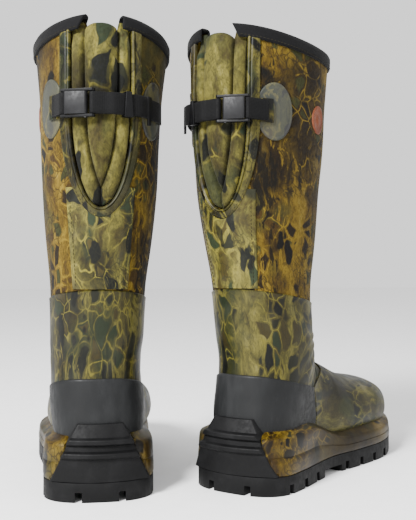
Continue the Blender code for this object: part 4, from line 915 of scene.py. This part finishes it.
# %% [markdown]
# ## Inside the rubber foot
#
# An insulated bootie lies against the rubber, and a footbed lies on its sole. Neither is seen
# from outside, but the layers are real, so both are laid on the form at their own depths.

# %% Make the insulated bootie and the footbed
RUBBER_PROUD = 1.2 * MM
RUBBER_WALL = 2.5 * MM
start_depth = RUBBER_PROUD - RUBBER_WALL - GAP
place = BOOTIE_EDGE + (3.0 - BOOTIE_EDGE) * steps(50)[:, None]
around = full_turn(64)
mesh = form_sheet("inner_bootie", place, around, start_depth, SHAFT_WALL + start_depth, True)
set_piece("inner_bootie", mesh, insulation_foam, "insulation")

place = 1.545 + (2.89 - 1.545) * steps(60, 0.01)[:, None]
angle = np.radians(45) * (2 * steps(31, 0.02)[None, :] - 1)
rim_gap = np.minimum(45 - np.degrees(np.abs(angle)), 8) / 8
wall = 3.4 * MM * (0.35 + 0.65 * edge_round(rim_gap, 1.0)) + 0 * place
mesh = form_sheet("insole", place, angle, FOOTBED_OUT, wall)
set_piece("insole", mesh, footbed_foam, "footbed")

# %% [markdown]
# ## The rubber foot
#
# The foot is dipped or laid-up rubber: a smooth printed skin that ends in a rolled edge around
# the shaft. It is the same kind of sheet with more rows, and the rubber shows a few shallow
# folds across the ankle's front and sides, where the boot has been walked in.

# %% Make the rubber foot
place = BOOTIE_EDGE + (3.0 - BOOTIE_EDGE) * steps(130, 0.0015, 0.003, 0.006)[:, None]
columns = full_turn(128)
points = form(place, columns)
from_edge = (place - BOOTIE_EDGE) * (BOOT_HEIGHT - ANKLE_HEIGHT)
rolled = edge_round(from_edge, 1.0 * MM) * (1 + 0.35 * np.exp(-(from_edge / (2.2 * MM)) ** 2))
front = step_up(-np.cos(columns), -0.3, 0.7)
folds = np.sin(52 * (place - 1) + 1.7 * np.cos(2 * columns)) * step_up(place, 0.92, 1.05)
folds = folds * (1 - step_up(place, 1.5, 1.8)) * front * 0.7 * MM
depth = RUBBER_PROUD * (0.2 + 0.8 * rolled) + folds + 0.35 * MM * lumps(points, 30 * MM, 9.0)
mesh = form_sheet("rubber_bootie", place, columns, depth, RUBBER_WALL, True)
set_piece("rubber_bootie", mesh, foot_rubber, "camo_rubber")

# %% [markdown]
# ## Patches and badge
#
# Two oval patches spread the strap's pull over the shaft. A plain round badge sits on the outer
# side. Each is a low button: rings of points from its middle to its edge and back underneath,
# wrapped on the shaft, with a raised rim.

# %% Make the patches and the badge
def button(name, degrees, half_width, half_height, profile, offset):
    """A round or oval button on the shaft; profile rows are (share of the radius, depth)."""
    turn = full_turn(72)
    radius = np.array([row[0] for row in profile])[:, None]
    depth = np.array([row[1] for row in profile])[:, None] * MM + 0 * turn
    height = STRAP_HEIGHT + half_height * radius * np.sin(turn)
    side = np.radians(degrees)
    nearby = form(place_of_height(STRAP_HEIGHT), np.array([side - 0.05, side + 0.05]))
    leg = np.linalg.norm(nearby[1] - nearby[0]) / 0.1
    angle = side + half_width * radius * np.cos(turn) / leg
    place = place_of_height(height)
    points = layer(place, angle, depth)
    points[..., 2] = height
    faces = grid_faces(*points.shape[:2], True)
    return to_mesh(name, points.reshape(-1, 3), faces, print_place(place, angle, offset).reshape(-1, 3), 50)


PATCH_ANGLE = 52                # degrees round the leg from its rear
PATCH_HALF = (20 * MM, 27 * MM)
BADGE_ANGLE = -100
BADGE_RADIUS = 14 * MM
# share of the radius, depth in mm, from the middle outward and back underneath
flat_patch = [(0, 1.5), (0.3, 1.5), (0.6, 1.5), (0.82, 1.5), (0.86, 1.35), (0.885, 1.35), (0.91, 1.65),
              (0.95, 1.7), (0.98, 1.4), (0.995, 0.9), (1.0, 0.3), (1.0, -0.3), (0.5, -0.3), (0, -0.3)]
for node, degrees in (("medial_patch", PATCH_ANGLE), ("lateral_patch", -PATCH_ANGLE)):
    mesh = button(node, degrees, *PATCH_HALF, flat_patch, (0.1 * degrees, 0.2, 0.3))
    set_piece(node, mesh, patch_rubber, "patch_rubber")
ringed = [(0, 1.5), (0.25, 1.45), (0.28, 1.1), (0.5, 1.05), (0.72, 1.0), (0.76, 1.4), (0.90, 1.5),
          (0.97, 1.3), (1.0, 0.7), (1.0, -0.3), (0.5, -0.3), (0, -0.3)]
mesh = button("badge", BADGE_ANGLE, BADGE_RADIUS, BADGE_RADIUS, ringed, (0, 0, 0))
set_piece("badge", mesh, badge_enamel, "badge_enamel")

# %% [markdown]
# ## Heel guard and vamp overlay
#
# Two more layers of rubber are bonded over the foot: a plain guard round the heel, and a printed
# overlay over the instep and the toe. Their edges cross the form's rings at a slant. So each
# column of the grid first looks for the places where it meets those edges, and then spreads its
# points between them.

# %% Find where a column meets an edge
def place_where(beyond, angles, low, high):
    """The place on each column where beyond(points) first holds, by halving."""
    low, high = np.full(angles.shape, low), np.full(angles.shape, high)
    for _ in range(26):
        middle = (low + high) / 2
        past = beyond(form(middle, angles))
        low, high = np.where(past, low, middle), np.where(past, middle, high)
    return (low + high) / 2


def below_guard_top(p):
    return p[..., 2] < np.interp(p[..., 1], [-50 * MM, 20 * MM, 55 * MM, 97 * MM],
                                 [118 * MM, 110 * MM, 101 * MM, 92 * MM])


def past_guard_front(p):
    front = np.interp(p[..., 2], [34 * MM, 60 * MM, 92 * MM], [101 * MM, 103 * MM, 97 * MM])
    return (p[..., 1] > front) | (p[..., 2] < 34 * MM)


def past_vamp_edge(p):
    return p[..., 1] > np.interp(p[..., 2], [34 * MM, 60 * MM, 92 * MM, 104 * MM, 150 * MM],
                                 [101.4 * MM, 103.4 * MM, 97.4 * MM, 136 * MM, 158 * MM])


print("edge finders ready")

# %% Make the guard and the overlay
GUARD_WALL = 1.4 * MM
VAMP_WALL = 1.2 * MM
SWELL = 5.5 * MM                # how far the vamp bulges over the edge of the sole
SINK = 0.5 * MM                 # an overlay's inner face lies so far inside the rubber's skin
REACH = 140 * MM                # length along the form of one whole place, near the ankle
overlay_start = RUBBER_PROUD + GAP
degrees = np.linspace(60, 130, 281)
spare = (place_where(past_guard_front, np.radians(degrees), 0.9, 1.95)
         - place_where(below_guard_top, np.radians(degrees), 0.9, 1.95))
corner = np.radians(degrees[np.argmax(spare <= 0)])
angle = (corner * (2 * steps(97, 0.004, 0.01) - 1))[None, :]
top = place_where(below_guard_top, angle, 0.9, 1.95)
end = np.maximum(place_where(past_guard_front, angle, 0.9, 1.95), top)
place = top + (end - top) * steps(70, 0.004, 0.012, 0.03)[:, None]
from_top = (place - top) * REACH
from_end = (end - place) * REACH
edges = edge_round(np.minimum(from_top, from_end), 1.6 * MM)
wall = GUARD_WALL * (0.05 + 0.95 * edges)
depth = overlay_start + wall
depth = depth + 0.2 * MM * lumps(form(place, angle), 35 * MM, 4.0) * edges
mesh = form_sheet("heel_guard", place, angle, depth, wall + SINK)
set_piece("heel_guard", mesh, guard_rubber, "guard_rubber")

start = place_where(past_vamp_edge, columns, 0.9, 2.4)
place = start + (3.0 - start) * steps(90, 0.0015, 0.004, 0.01)[:, None]
edges = edge_round((place - start) * REACH, 1.4 * MM)
core = form(place, columns)
swell = SWELL * step_up(core[..., 1], 104 * MM, 160 * MM)
swell = swell * step_up(core[..., 2], 28 * MM, 36 * MM) * (1 - step_up(core[..., 2], 42 * MM, 84 * MM))
wall = VAMP_WALL * (0.05 + 0.95 * edges) + swell
depth = overlay_start + wall + 0.25 * MM * lumps(core, 28 * MM, 6.0)
mesh = form_sheet("vamp_overlay", place, columns, depth, wall + SINK, True, (0.2, 0.5, 0.1))
set_piece("vamp_overlay", mesh, vamp_skin, "vamp_rubber")

# %% [markdown]
# ## The sole: sidewall, kick tab, outsole
#
# The sidewall is a printed band round the sole. It is a ring swept round the sole's outline with
# a rounded top and a fine line along its middle. At the heel a black kick tab with two ledges
# stands over it, for stepping out of the boot. The outsole is a thick slab with real grooves:
# here Booleans are right, because the grooves are straight cuts and their edges are sharp
# enough to be rounded by a Bevel afterwards.

# %% The sole's outline
SOLE_ROWS = np.array([
    (0.00, 50, 52), (0.18, 51, 53), (0.38, 47, 51), (0.54, 53, 60), (0.71, 61, 65), (0.86, 60, 57),
    (1.00, 56, 44)])            # share of the length, width to the inner and outer side, mm
OUTSOLE_HEIGHT = 17.7 * MM
HEEL_ROUND = 40 * MM
TOE_ROUND = 85 * MM


def round_off(share, roundness):
    return (1 - np.clip(share, 0, 1) ** roundness) ** (1 / roundness)


def sole_outline(inset=0.0, count=70):
    """The outline as points, from the heel round the inner side to the toe and back."""
    length = SOLE_LENGTH - 2 * inset
    y = length * (1 - np.cos(math.pi * np.arange(1, count) / count)) / 2
    ends = round_off(1 - y / HEEL_ROUND, 2.6) * round_off(1 - (length - y) / TOE_ROUND, 2.3)
    inner, outer = ((smooth(SOLE_ROWS, c, y / length) * MM - inset) * ends for c in (1, 2))
    y = y + inset
    return np.array([(0, inset), *zip(inner, y), (0, SOLE_LENGTH - inset), *zip(-outer[::-1], y[::-1])])


def rand_top(y):
    return 53 * MM - 19 * MM * step_up(y, 80 * MM, 155 * MM)


# height, half width and rear face of the kick tab, in mm
KICK_ROWS = np.array([
    (18.3, 46, -1.0), (38.5, 36.6, -2.0), (40.6, 36, -5.2), (41.2, 36, -6.0), (44.0, 34.4, -6.2),
    (45.0, 33.8, -5.6), (46.2, 33, -0.6), (50.8, 31.4, 0.0), (52.4, 31, -3.4), (53.2, 31, -4.0),
    (56.0, 29.4, -4.2), (57.0, 28.6, -3.6), (58.2, 28, 1.4), (70.0, 21, 5.4)])
print("the outline has", len(sole_outline()), "points")

# %% Make the sidewall and the kick tab
# share of the sidewall's height, inset from the outline in mm
wall_section = [
    (0.0, 0.6), (0.03, 0.1), (0.10, -0.3), (0.30, -0.3), (0.47, 0.0), (0.485, 0.55), (0.505, 0.55),
    (0.52, 0.1), (0.80, 0.5), (0.90, 0.8), (0.96, 1.3), (1.00, 2.1), (1.04, 3.4), (1.10, 5.2),
    (1.18, 7.4), (1.30, 10.2), (1.45, 14.0), (0.6, 15.0), (0.0, 14.0)]
FILLET_RISE = 16 * MM           # height of one whole share above the sidewall's top
low = OUTSOLE_HEIGHT + GAP
loops, marks = [], []
for share, inset in wall_section:
    outline = sole_outline(inset * MM)
    z = low + (rand_top(outline[:, 1]) - low) * min(share, 1) + max(share - 1, 0) * FILLET_RISE
    tab = np.interp(z, KICK_ROWS[:, 0] * MM, KICK_ROWS[:, 1] * MM) - 1.2 * MM
    under = (np.abs(outline[:, 0]) < tab) & (outline[:, 1] < 30 * MM)
    y = outline[:, 1] + np.where(under, 5 * MM, 0)
    loops.append(np.stack([outline[:, 0], y, z], -1))
    marks.append(np.stack([outline[:, 0], y * 0.6, z], -1))
loops, marks = np.array(loops + loops[:1]), np.array(marks + marks[:1])
rows, count = loops.shape[:2]
mesh = to_mesh("rand", loops.reshape(-1, 3), grid_faces(rows, count, True), marks.reshape(-1, 3), 50)
set_piece("rand", mesh, sidewall_rubber, "camo_sidewall")

z = np.unique(np.concatenate([np.linspace(18.3, 70, 60), KICK_ROWS[:, 0]]))[:, None] * MM
half, rear = (np.interp(z, KICK_ROWS[:, 0] * MM, KICK_ROWS[:, c] * MM) for c in (1, 2))
across = steps(41, 0.006, 0.015)[None, :] * 2 - 1
x = across * half
bow = x**2 / (160 * MM)
edge = 1.2 * MM * (1 - edge_round((1 - np.abs(across)) * half, 1.2 * MM))
outer = np.stack([x, rear + bow + edge, z + 0 * x], -1)
deep = np.maximum(12 * MM + 2.2 * bow, outer[..., 1] + 2 * MM)
inner_face = np.stack([x, deep, z + 0 * x], -1)
mesh = two_faced("kick_tab", outer, inner_face, outer, False, 32)
set_piece("kick_tab", mesh, tread_rubber, "tread_rubber")

# %% Make the outsole
GROOVE_DEPTH = 9 * MM
GROOVE_WIDTH = 6 * MM
WAIST, WAIST_DEPTH = (0.33, 0.44), 7 * MM       # the open part before the heel
LONG_GROOVES_OUT = 20 * MM
CROSS_GROOVES = (0.085, 0.175, 0.265, 0.49, 0.575, 0.66, 0.745, 0.83, 0.915)
BEYOND = 80 * MM


def scratch_prism(outline, low, high):
    """A plain prism as a loose object, to be cut or to cut with."""
    count = len(outline)
    points = [(x, y, z) for z in (low, high) for x, y in outline]
    faces = [tuple(range(count))[::-1], tuple(range(count, 2 * count))]
    faces += [(i, (i + 1) % count, count + (i + 1) % count, count + i) for i in range(count)]
    mesh = bpy.data.meshes.new("scratch")
    mesh.from_pydata(points, [], faces)
    return put_in_scene("scratch", mesh)


def groove_outlines():
    half = GROOVE_WIDTH / 2
    for share in CROSS_GROOVES:
        y, slant = share * SOLE_LENGTH, 9 * MM if share > WAIST[1] else -5.4 * MM
        yield [(-BEYOND, y - half - slant), (0, y - half), (BEYOND, y - half - slant),
               (BEYOND, y + half - slant), (0, y + half), (-BEYOND, y + half - slant)], GROOVE_DEPTH
    for x in (-LONG_GROOVES_OUT, LONG_GROOVES_OUT):
        for start, end in ((-0.01, 0.29), (0.45, 0.90)):
            yield [(x - half, start * SOLE_LENGTH), (x + half, start * SOLE_LENGTH),
                   (x + half, end * SOLE_LENGTH), (x - half, end * SOLE_LENGTH)], GROOVE_DEPTH
    start, end = (share * SOLE_LENGTH for share in WAIST)
    yield [(-BEYOND, start), (BEYOND, start), (BEYOND, end), (-BEYOND, end)], WAIST_DEPTH


def settled(obj):
    """The object's mesh with its modifiers applied; the object itself goes."""
    bpy.context.view_layer.update()
    mesh = bpy.data.meshes.new_from_object(obj.evaluated_get(bpy.context.evaluated_depsgraph_get()))
    bpy.data.objects.remove(obj)
    return mesh


slab = scratch_prism(sole_outline(), 0.0, OUTSOLE_HEIGHT)
cutters = [scratch_prism(outline, -10 * MM, deep) for outline, deep in groove_outlines()]
for cutter in cutters:
    cut = slab.modifiers.new("groove", "BOOLEAN")
    cut.operation, cut.object = "DIFFERENCE", cutter
rounding = slab.modifiers.new("rounding", "BEVEL")
rounding.width, rounding.segments, rounding.limit_method = 0.7 * MM, 2, "ANGLE"
rounding.angle_limit = math.radians(35)
mesh = settled(slab)
for cutter in cutters:
    bpy.data.objects.remove(cutter)
bm = bmesh.new()
bm.from_mesh(mesh)
for share, _ in TOE_SPRING:
    bmesh.ops.bisect_plane(bm, geom=[*bm.verts, *bm.edges, *bm.faces], dist=1e-7,
                           plane_co=(0, share * SOLE_LENGTH, 0), plane_no=(0, 1, 0))
bmesh.ops.triangulate(bm, faces=[f for f in bm.faces if len(f.verts) > 4])
bm.to_mesh(mesh)
bm.free()
points = np.array([v.co for v in mesh.vertices])
mesh = to_mesh("outsole", points, [tuple(f.vertices) for f in mesh.polygons], points, 30)
set_piece("outsole", mesh, tread_rubber, "tread_rubber")

# %% [markdown]
# ## Webbing
#
# The strap is one ribbon of webbing. It is sewn to the inner side, passes through the keeper,
# turns round the buckle's bar and comes back through the keeper to its end piece. A second,
# shorter ribbon holds the buckle's other bar. We take the route from the hardware: every stop is
# a level frame on the shaft, and a smooth curve through the stops carries a rounded section.

# %% Level frames on the shaft, and the ribbon
STRAP_LIFT = 3.2 * MM           # zero of the strap hardware's own depths, outside the form
BUCKLE_ANGLE = -15              # degrees round the leg from its rear, inner side positive
KEEPER_ANGLE = 19
TAIL_ANGLE = 36
SEWN_ANGLE = 68
TAB_CLEAR = 9.6 * MM            # from the gusset's band to the middle of the anchor tab
TAB_WALL = 1.6 * MM
PATCH_WALL = 1.3 * MM
LOOP_WALL = 1.2 * MM
STRAP_WIDTH = 19 * MM
STRAP_WALL = 1.4 * MM
BAR_RADIUS = 1.4 * MM
MEDIAL_BAR = (9.5 * MM, 4.2 * MM)
LATERAL_BAR = (-18.5 * MM, 4.5 * MM)
LOWER_RUN = MEDIAL_BAR[1] - BAR_RADIUS - GAP - STRAP_WALL / 2
UPPER_RUN = LOWER_RUN + STRAP_WALL + 0.6 * MM


class Station:
    """A level frame on the shaft: t runs to the inner side, n outward."""

    def __init__(self, degrees):
        place, angle = place_of_height(STRAP_HEIGHT), math.radians(degrees)
        self.origin = layer(place, angle, STRAP_LIFT)[:2]
        outward = (layer(place, angle, 10 * MM) - layer(place, angle, 0.0))[:2]
        self.outward = outward / np.linalg.norm(outward)
        self.across = np.array([-self.outward[1], self.outward[0]])

    def flat(self, t, n):
        return self.origin + self.across * t + self.outward * n

    def bearing(self, start, point):
        away = point - self.flat(*start)
        return math.atan2(away @ self.outward, away @ self.across)


def arc(centre, radius, start, end, count):
    angles = np.linspace(start, end, count + 1)
    return [(centre[0] + radius * math.cos(a), centre[1] + radius * math.sin(a)) for a in angles]


def smooth_route(stops, spacing):
    """A smooth curve through the stops, with evenly spaced points."""
    stops = np.array(stops)
    padded = np.concatenate([2 * stops[:1] - stops[1:2], stops, 2 * stops[-1:] - stops[-2:-1]])
    fine = []
    for a, b, c, d in zip(padded, padded[1:], padded[2:], padded[3:]):
        ta = np.linalg.norm(b - a) ** 0.5
        tb = ta + np.linalg.norm(c - b) ** 0.5
        tc = tb + np.linalg.norm(d - c) ** 0.5
        for t in np.linspace(ta, tb, 12, endpoint=False):
            p = (a * (ta - t) + b * t) / ta
            q = (b * (tb - t) + c * (t - ta)) / (tb - ta)
            r = (c * (tc - t) + d * (t - tb)) / (tc - tb)
            u, v = (p * (tb - t) + q * t) / tb, (q * (tc - t) + r * (t - ta)) / (tc - ta)
            fine.append((u * (tb - t) + v * (t - ta)) / (tb - ta))
    fine = np.array(fine + [stops[-1]])
    length = np.concatenate([[0], np.cumsum(np.linalg.norm(np.diff(fine, axis=0), axis=1))])
    even = np.linspace(0, length[-1], int(length[-1] / spacing) + 1)
    return np.stack([np.interp(even, length, fine[:, i]) for i in (0, 1)], -1), even


def ribbon(name, stops, wall, half_width):
    route, length = smooth_route(stops, 0.9 * MM)
    along = np.gradient(route, axis=0)
    along /= np.linalg.norm(along, axis=1, keepdims=True)
    side = np.stack([-along[:, 1], along[:, 0]], -1)
    w, h, r = wall / 2, half_width, 0.35 * wall
    section = [(w, -h + r), (w, -h / 2), (w, 0), (w, h / 2), (w, h - r), (w - r, h), (-w + r, h), (-w, h - r),
               (-w, h / 2), (-w, 0), (-w, -h / 2), (-w, -h + r), (-w + r, -h), (w - r, -h)]
    points, marks = [], []
    for p, s, far in zip(route, side, length):
        for out, up in section:
            points.append((*(p + s * out), STRAP_HEIGHT + up))
            marks.append((far, out, up))
    count = len(section)
    faces = grid_faces(len(route), count, True)
    faces += [tuple(range(count)), tuple(range(len(points) - count, len(points)))]
    return to_mesh(name, points, faces, marks, 50)


print("webbing helpers ready")

# %% Make the strap and the loop
buckle, keeper, tail, sewn = (Station(d) for d in (BUCKLE_ANGLE, KEEPER_ANGLE, TAIL_ANGLE, SEWN_ANGLE))
middle = Station((BUCKLE_ANGLE + KEEPER_ANGLE) / 2)
turn = BAR_RADIUS + GAP + STRAP_WALL / 2
straight = 13 * MM
stops = [sewn.flat(0, -1.0 * MM), Station(SEWN_ANGLE - 9).flat(0, -0.2 * MM),
         Station(TAIL_ANGLE + 4).flat(0, 1.0 * MM),
         keeper.flat(straight, LOWER_RUN), keeper.flat(0, LOWER_RUN), keeper.flat(-straight, LOWER_RUN),
         middle.flat(0, LOWER_RUN + 0.8 * MM)]
stops += [buckle.flat(*p) for p in arc(MEDIAL_BAR, turn, -math.pi / 2, -3 * math.pi / 2, 10)]
stops += [middle.flat(0, UPPER_RUN + 1.0 * MM), keeper.flat(-straight, UPPER_RUN), keeper.flat(0, UPPER_RUN),
          keeper.flat(straight, UPPER_RUN), tail.flat(0, UPPER_RUN + 0.6 * MM)]
mesh = ribbon("strap", stops, STRAP_WALL, STRAP_WIDTH / 2)
set_piece("strap", mesh, strap_webbing, "webbing")

tab = Station(-math.degrees(math.asin((GUSSET_HALF + FRAME_BAND + TAB_CLEAR) / RIM_HALF_WIDTH)))
tab_low = GAP * 2 + PATCH_WALL - STRAP_LIFT + 0.2 * MM
first = tab_low + TAB_WALL + GAP + LOOP_WALL / 2
second = first + LOOP_WALL + 0.4 * MM
turn = BAR_RADIUS + 0.2 * MM + GAP + LOOP_WALL / 2
away = buckle.bearing(LATERAL_BAR, tab.flat(6 * MM, (first + second) / 2))
stops = [tab.flat(-1 * MM, -2.0 * MM), tab.flat(1 * MM, first - 1 * MM), tab.flat(6 * MM, first)]
stops += [buckle.flat(*p)
          for p in arc(LATERAL_BAR, turn, away - 1.5 * math.pi, away - 0.5 * math.pi, 10)]
stops += [tab.flat(6 * MM, second), tab.flat(1.5 * MM, second - 0.8 * MM), tab.flat(-1 * MM, 0.0)]
mesh = ribbon("anchor_loop", stops, LOOP_WALL, STRAP_WIDTH / 2)
set_piece("anchor_loop", mesh, strap_webbing, "webbing")

# %% [markdown]
# ## Stitching
#
# Thread is what joins the soft pieces, and it reads at arm's length as a dotted line. Each stitch
# is a small bead stretched along its seam and half sunk in the cloth. One mesh per boot holds
# the row along the binding, the rows beside the rear panel and the row along the band.

# %% Make the stitching
def stitches(rows, pitch=3.6 * MM, length=2.6 * MM, thick=0.55 * MM):
    """Beads along rows of (place, angle, depth) lists."""
    points, faces, marks = [], [], []
    ring = [(math.cos(t), math.sin(t)) for t in np.linspace(0, 2 * math.pi, 6, endpoint=False)]
    for place, angle, depth in rows:
        line, above = layer(place, angle, depth), layer(place, angle, np.asarray(depth) + 1 * MM)
        run = np.concatenate([[0], np.cumsum(np.linalg.norm(np.diff(line, axis=0), axis=1))])
        for centre in np.arange(pitch / 2, run[-1], pitch):
            at, tip, up = (np.array([np.interp(s, run, q[:, i]) for i in range(3)])
                           for s, q in ((centre, line), (centre + 0.5 * MM, line), (centre, above)))
            along = (tip - at) / max(np.linalg.norm(tip - at), 1e-9)
            up = (up - at) / np.linalg.norm(up - at)
            side = np.cross(along, up)
            base = len(points)
            for share, size in ((-0.5, 0.25), (-0.32, 0.9), (0.0, 1.0), (0.32, 0.9), (0.5, 0.25)):
                lift = 0.25 * MM * (size - 0.9)
                for c, s in ring:
                    bead = (side * c + up * s) * thick / 2 * size
                    points.append(at + along * share * length + bead + up * lift)
                    marks.append((share * length, c * thick, s * thick))
            faces += grid_faces(5, 6, True, base)
            faces += [tuple(range(base, base + 6))[::-1], tuple(range(base + 24, base + 30))]
    return to_mesh("stitching", np.array(points), faces, np.array(marks), 60)


HEM_DROP = 10.8 * MM            # the hem's row below the rim
HEM_OUT = 2.45 * MM
BAND_ROW = 6.6 * MM             # the band's row outside its inner edge
SEAM_HALF = 21.4 * MM           # the rear panel's rows, from the middle, at their lower end
SEAM_BOTTOM, SEAM_TOP = 194 * MM, 282 * MM
hem_start = math.asin(EAR_HALF_GAP / RIM_HALF_WIDTH) + 0.03
angles = np.linspace(hem_start, 2 * math.pi - hem_start - 0.10, 400)
hem = (np.full(400, HEM_DROP / (BOOT_HEIGHT - ANKLE_HEIGHT)), angles, np.full(400, HEM_OUT))
share = np.linspace(-0.98, 0.98, 400)
x, height = u_path(share, np.full(400, BAND_ROW))
band_row = (*rear_place(x, height), np.full(400, GAP + FRAME_WALL))
rows = [hem, band_row]
for sign in (-1, 1):
    height = np.linspace(BOOTIE_EDGE_HEIGHT + BOOTIE_EDGE_TILT + 3 * MM, SEAM_TOP, 120)
    x = sign * (SEAM_HALF + SPINE_FLARE * (height - SEAM_BOTTOM) / SPINE_HEIGHT)
    rows.append((*rear_place(x, height), np.full(120, GAP + SPINE_WALL)))
stitching_mesh = stitches(rows)
print("stitching:", len(stitching_mesh.vertices) // 30, "stitches on each boot")

# %% [markdown]
# ## Set the pieces on both boots
#
# A piece keeps its mesh in the boot's frame. For the left boot we use it as it is; for the right
# boot we flip x, turn the faces round again, and shift the print's coordinates, so that the two
# boots are not cut from the same spot of cloth. Then each piece is moved to where its boot
# stands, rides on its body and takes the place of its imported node.

# %% Set them
def boot_mesh(mesh, prefix):
    own = mesh.copy()
    own.name = prefix + mesh.name
    sign = MIRRORS[prefix]
    if sign < 0:
        own.transform(Matrix.Diagonal((-1, 1, 1, 1)))
        own.flip_normals()
        marks = np.zeros(len(own.vertices) * 3, np.float32)
        own.attributes["print_place"].data.foreach_get("vector", marks)
        marks = marks.reshape(-1, 3) + np.array((0.37, 0.21, 0.53), np.float32)
        own.attributes["print_place"].data.foreach_set("vector", marks.ravel())
    return own


def set_on_boot(name, mesh, finish, body, place=None):
    if place is not None:
        mesh.transform(place)
    obj = put_in_scene(name, mesh)
    mesh.materials.clear()
    mesh.materials.append(finish)
    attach(obj, body)
    return obj


for prefix, place in PLACES.items():
    for node, (mesh, finish, slot) in PIECES.items():
        obj = set_on_boot(prefix + node + "_made", boot_mesh(mesh, prefix), finish,
                          prefix + "boot", place)
        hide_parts(prefix + node)
    set_on_boot(prefix + "stitching", boot_mesh(stitching_mesh, prefix), thread,
                prefix + "boot", place)
print("pieces set:", 2 * len(PIECES) + 2)

# %% [markdown]
# ## Buckle, keeper and the other small hard parts
#
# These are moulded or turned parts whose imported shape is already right, but their edges are
# knife-sharp. A moulded edge is rounded, and that thin highlight is what makes plastic look like
# plastic. So each is copied, cleaned of the seams between its flat faces, and bevelled. The
# keeper also gets its waist: it flares towards its lower end.

# %% Round the small parts
def rounded_copy(node, width, segments=3, reshape=None):
    """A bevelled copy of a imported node's mesh, where it stands."""
    bm = bmesh.new()
    bm.from_mesh(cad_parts[node].data)
    bmesh.ops.remove_doubles(bm, verts=bm.verts, dist=0.005 * MM)
    bmesh.ops.dissolve_limit(bm, angle_limit=math.radians(1), verts=bm.verts, edges=bm.edges)
    if reshape:
        reshape(bm)
    mesh = bpy.data.meshes.new(node)
    bm.to_mesh(mesh)
    bm.free()
    obj = put_in_scene("scratch", mesh)
    bevel = obj.modifiers.new("edge", "BEVEL")
    bevel.width, bevel.segments, bevel.limit_method = width, segments, "ANGLE"
    bevel.angle_limit = math.radians(32)
    mesh = settled(obj)
    mesh.name = node + "_rounded"
    points = np.array([v.co for v in mesh.vertices], np.float32)
    marks = mesh.attributes.new("print_place", "FLOAT_VECTOR", "POINT")
    marks.data.foreach_set("vector", points.ravel())
    mesh.shade_smooth()
    mesh.set_sharp_from_angle(angle=math.radians(35))
    return mesh


def keeper_waist(prefix):
    """Narrower above, wider below, along the strap."""
    station = Station(KEEPER_ANGLE)
    turn = PLACES[prefix].to_3x3()
    along = turn @ Vector((MIRRORS[prefix] * station.across[0], station.across[1], 0))
    low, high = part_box(prefix + "strap_keeper")
    middle = (low + high) / 2

    def reshape(bm):
        for vert in bm.verts:
            up = (vert.co.z - middle.z) / (high.z - low.z)
            reach = (vert.co - middle).dot(along)
            vert.co += along * reach * (-0.10 - 0.45 * up)
    return reshape


SMALL_PARTS = {
    "buckle_frame": (0.5 * MM, black_plastic, "black_plastic", "boot"),
    "buckle_lever": (0.6 * MM, lever_plastic, "grey_plastic", "lever"),
    "buckle_pin": (0.25 * MM, pin_steel, "pin_steel", "boot"),
    "strap_keeper": (0.35 * MM, black_plastic, "black_plastic", "keeper"),
    "strap_tip": (0.4 * MM, black_plastic, "black_plastic", "boot"),
    "anchor_tab": (0.5 * MM, band_rubber, "camo_band", "boot"),
    "midsole": (0.8 * MM, midsole_foam, "midsole_foam", "boot"),
    "shank": (0.3 * MM, shank_steel, "shank_steel", "boot"),
}
for prefix in PLACES:
    for node, (width, finish, slot, body) in SMALL_PARTS.items():
        reshape = keeper_waist(prefix) if node == "strap_keeper" else None
        mesh = rounded_copy(prefix + node, width, 2 if node == "midsole" else 3, reshape)
        obj = set_on_boot(prefix + node + "_made", mesh, finish, prefix + body)
        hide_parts(prefix + node)
print("small parts rounded:", 2 * len(SMALL_PARTS))

# %% [markdown]
# ## Floor, light and camera
#
# A pale floor runs out of sight, a bright even surround fills the shadows, and a large soft light
# at the upper left gives the boots their shape, with a weaker one at the right. The camera
# stands level behind the heels, a little under half the boots' height.

# %% Floor and light
FLOOR_REACH = 6.0


def soft_light(name, at, towards, size, power):
    data = bpy.data.lights.new(name, "AREA")
    data.shape, data.size, data.energy = "DISK", size, power
    light = put_in_scene(name, data)
    light.location = at
    light.rotation_euler = (Vector(towards) - Vector(at)).to_track_quat("-Z", "Y").to_euler()


floor_mesh = bpy.data.meshes.new("floor")
corners = [(-FLOOR_REACH, -FLOOR_REACH, 0), (FLOOR_REACH, -FLOOR_REACH, 0),
           (FLOOR_REACH, FLOOR_REACH, 0), (-FLOOR_REACH, FLOOR_REACH, 0)]
floor_mesh.from_pydata(corners, [], [(0, 1, 2, 3)])
floor = put_in_scene("floor", floor_mesh)
floor.location.z = -0.2 * MM
paint = Finish("pale_floor", 0.9)
grain = paint.noise(paint.add("TexCoord", {}, out="Object"), 40, 3)
paint.colour(paint.dye(grain, [(0.3, (0.90, 0.90, 0.90)), (0.7, (0.93, 0.93, 0.93))]))
floor_mesh.materials.append(paint.material)

world = bpy.data.worlds.new("surround")
world.use_nodes = True
background = world.node_tree.nodes["Background"]
background.inputs["Color"].default_value = (1.0, 1.0, 1.0, 1.0)
background.inputs["Strength"].default_value = 1.3
bpy.context.scene.world = world
soft_light("key", (-1.3, -1.5, 1.4), (-0.05, -0.05, 0.25), 0.6, 190)
soft_light("fill", (1.6, -1.0, 0.9), (0.05, -0.05, 0.2), 1.2, 8)
print("floor, surround and two lights")

# %% Camera
CAMERA_TURN = math.radians(-8.5)
CAMERA_AT = (-158 * MM, -924 * MM, 219 * MM)
camera_data = bpy.data.cameras.new("camera")
camera_data.lens = 59.2
camera_data.shift_y = 0.003
camera_data.clip_start = 0.01
camera = put_in_scene("camera", camera_data)
camera.location = CAMERA_AT
camera.rotation_euler = (math.radians(90), 0, CAMERA_TURN)
bpy.context.scene.camera = camera
print("camera at", CAMERA_AT)
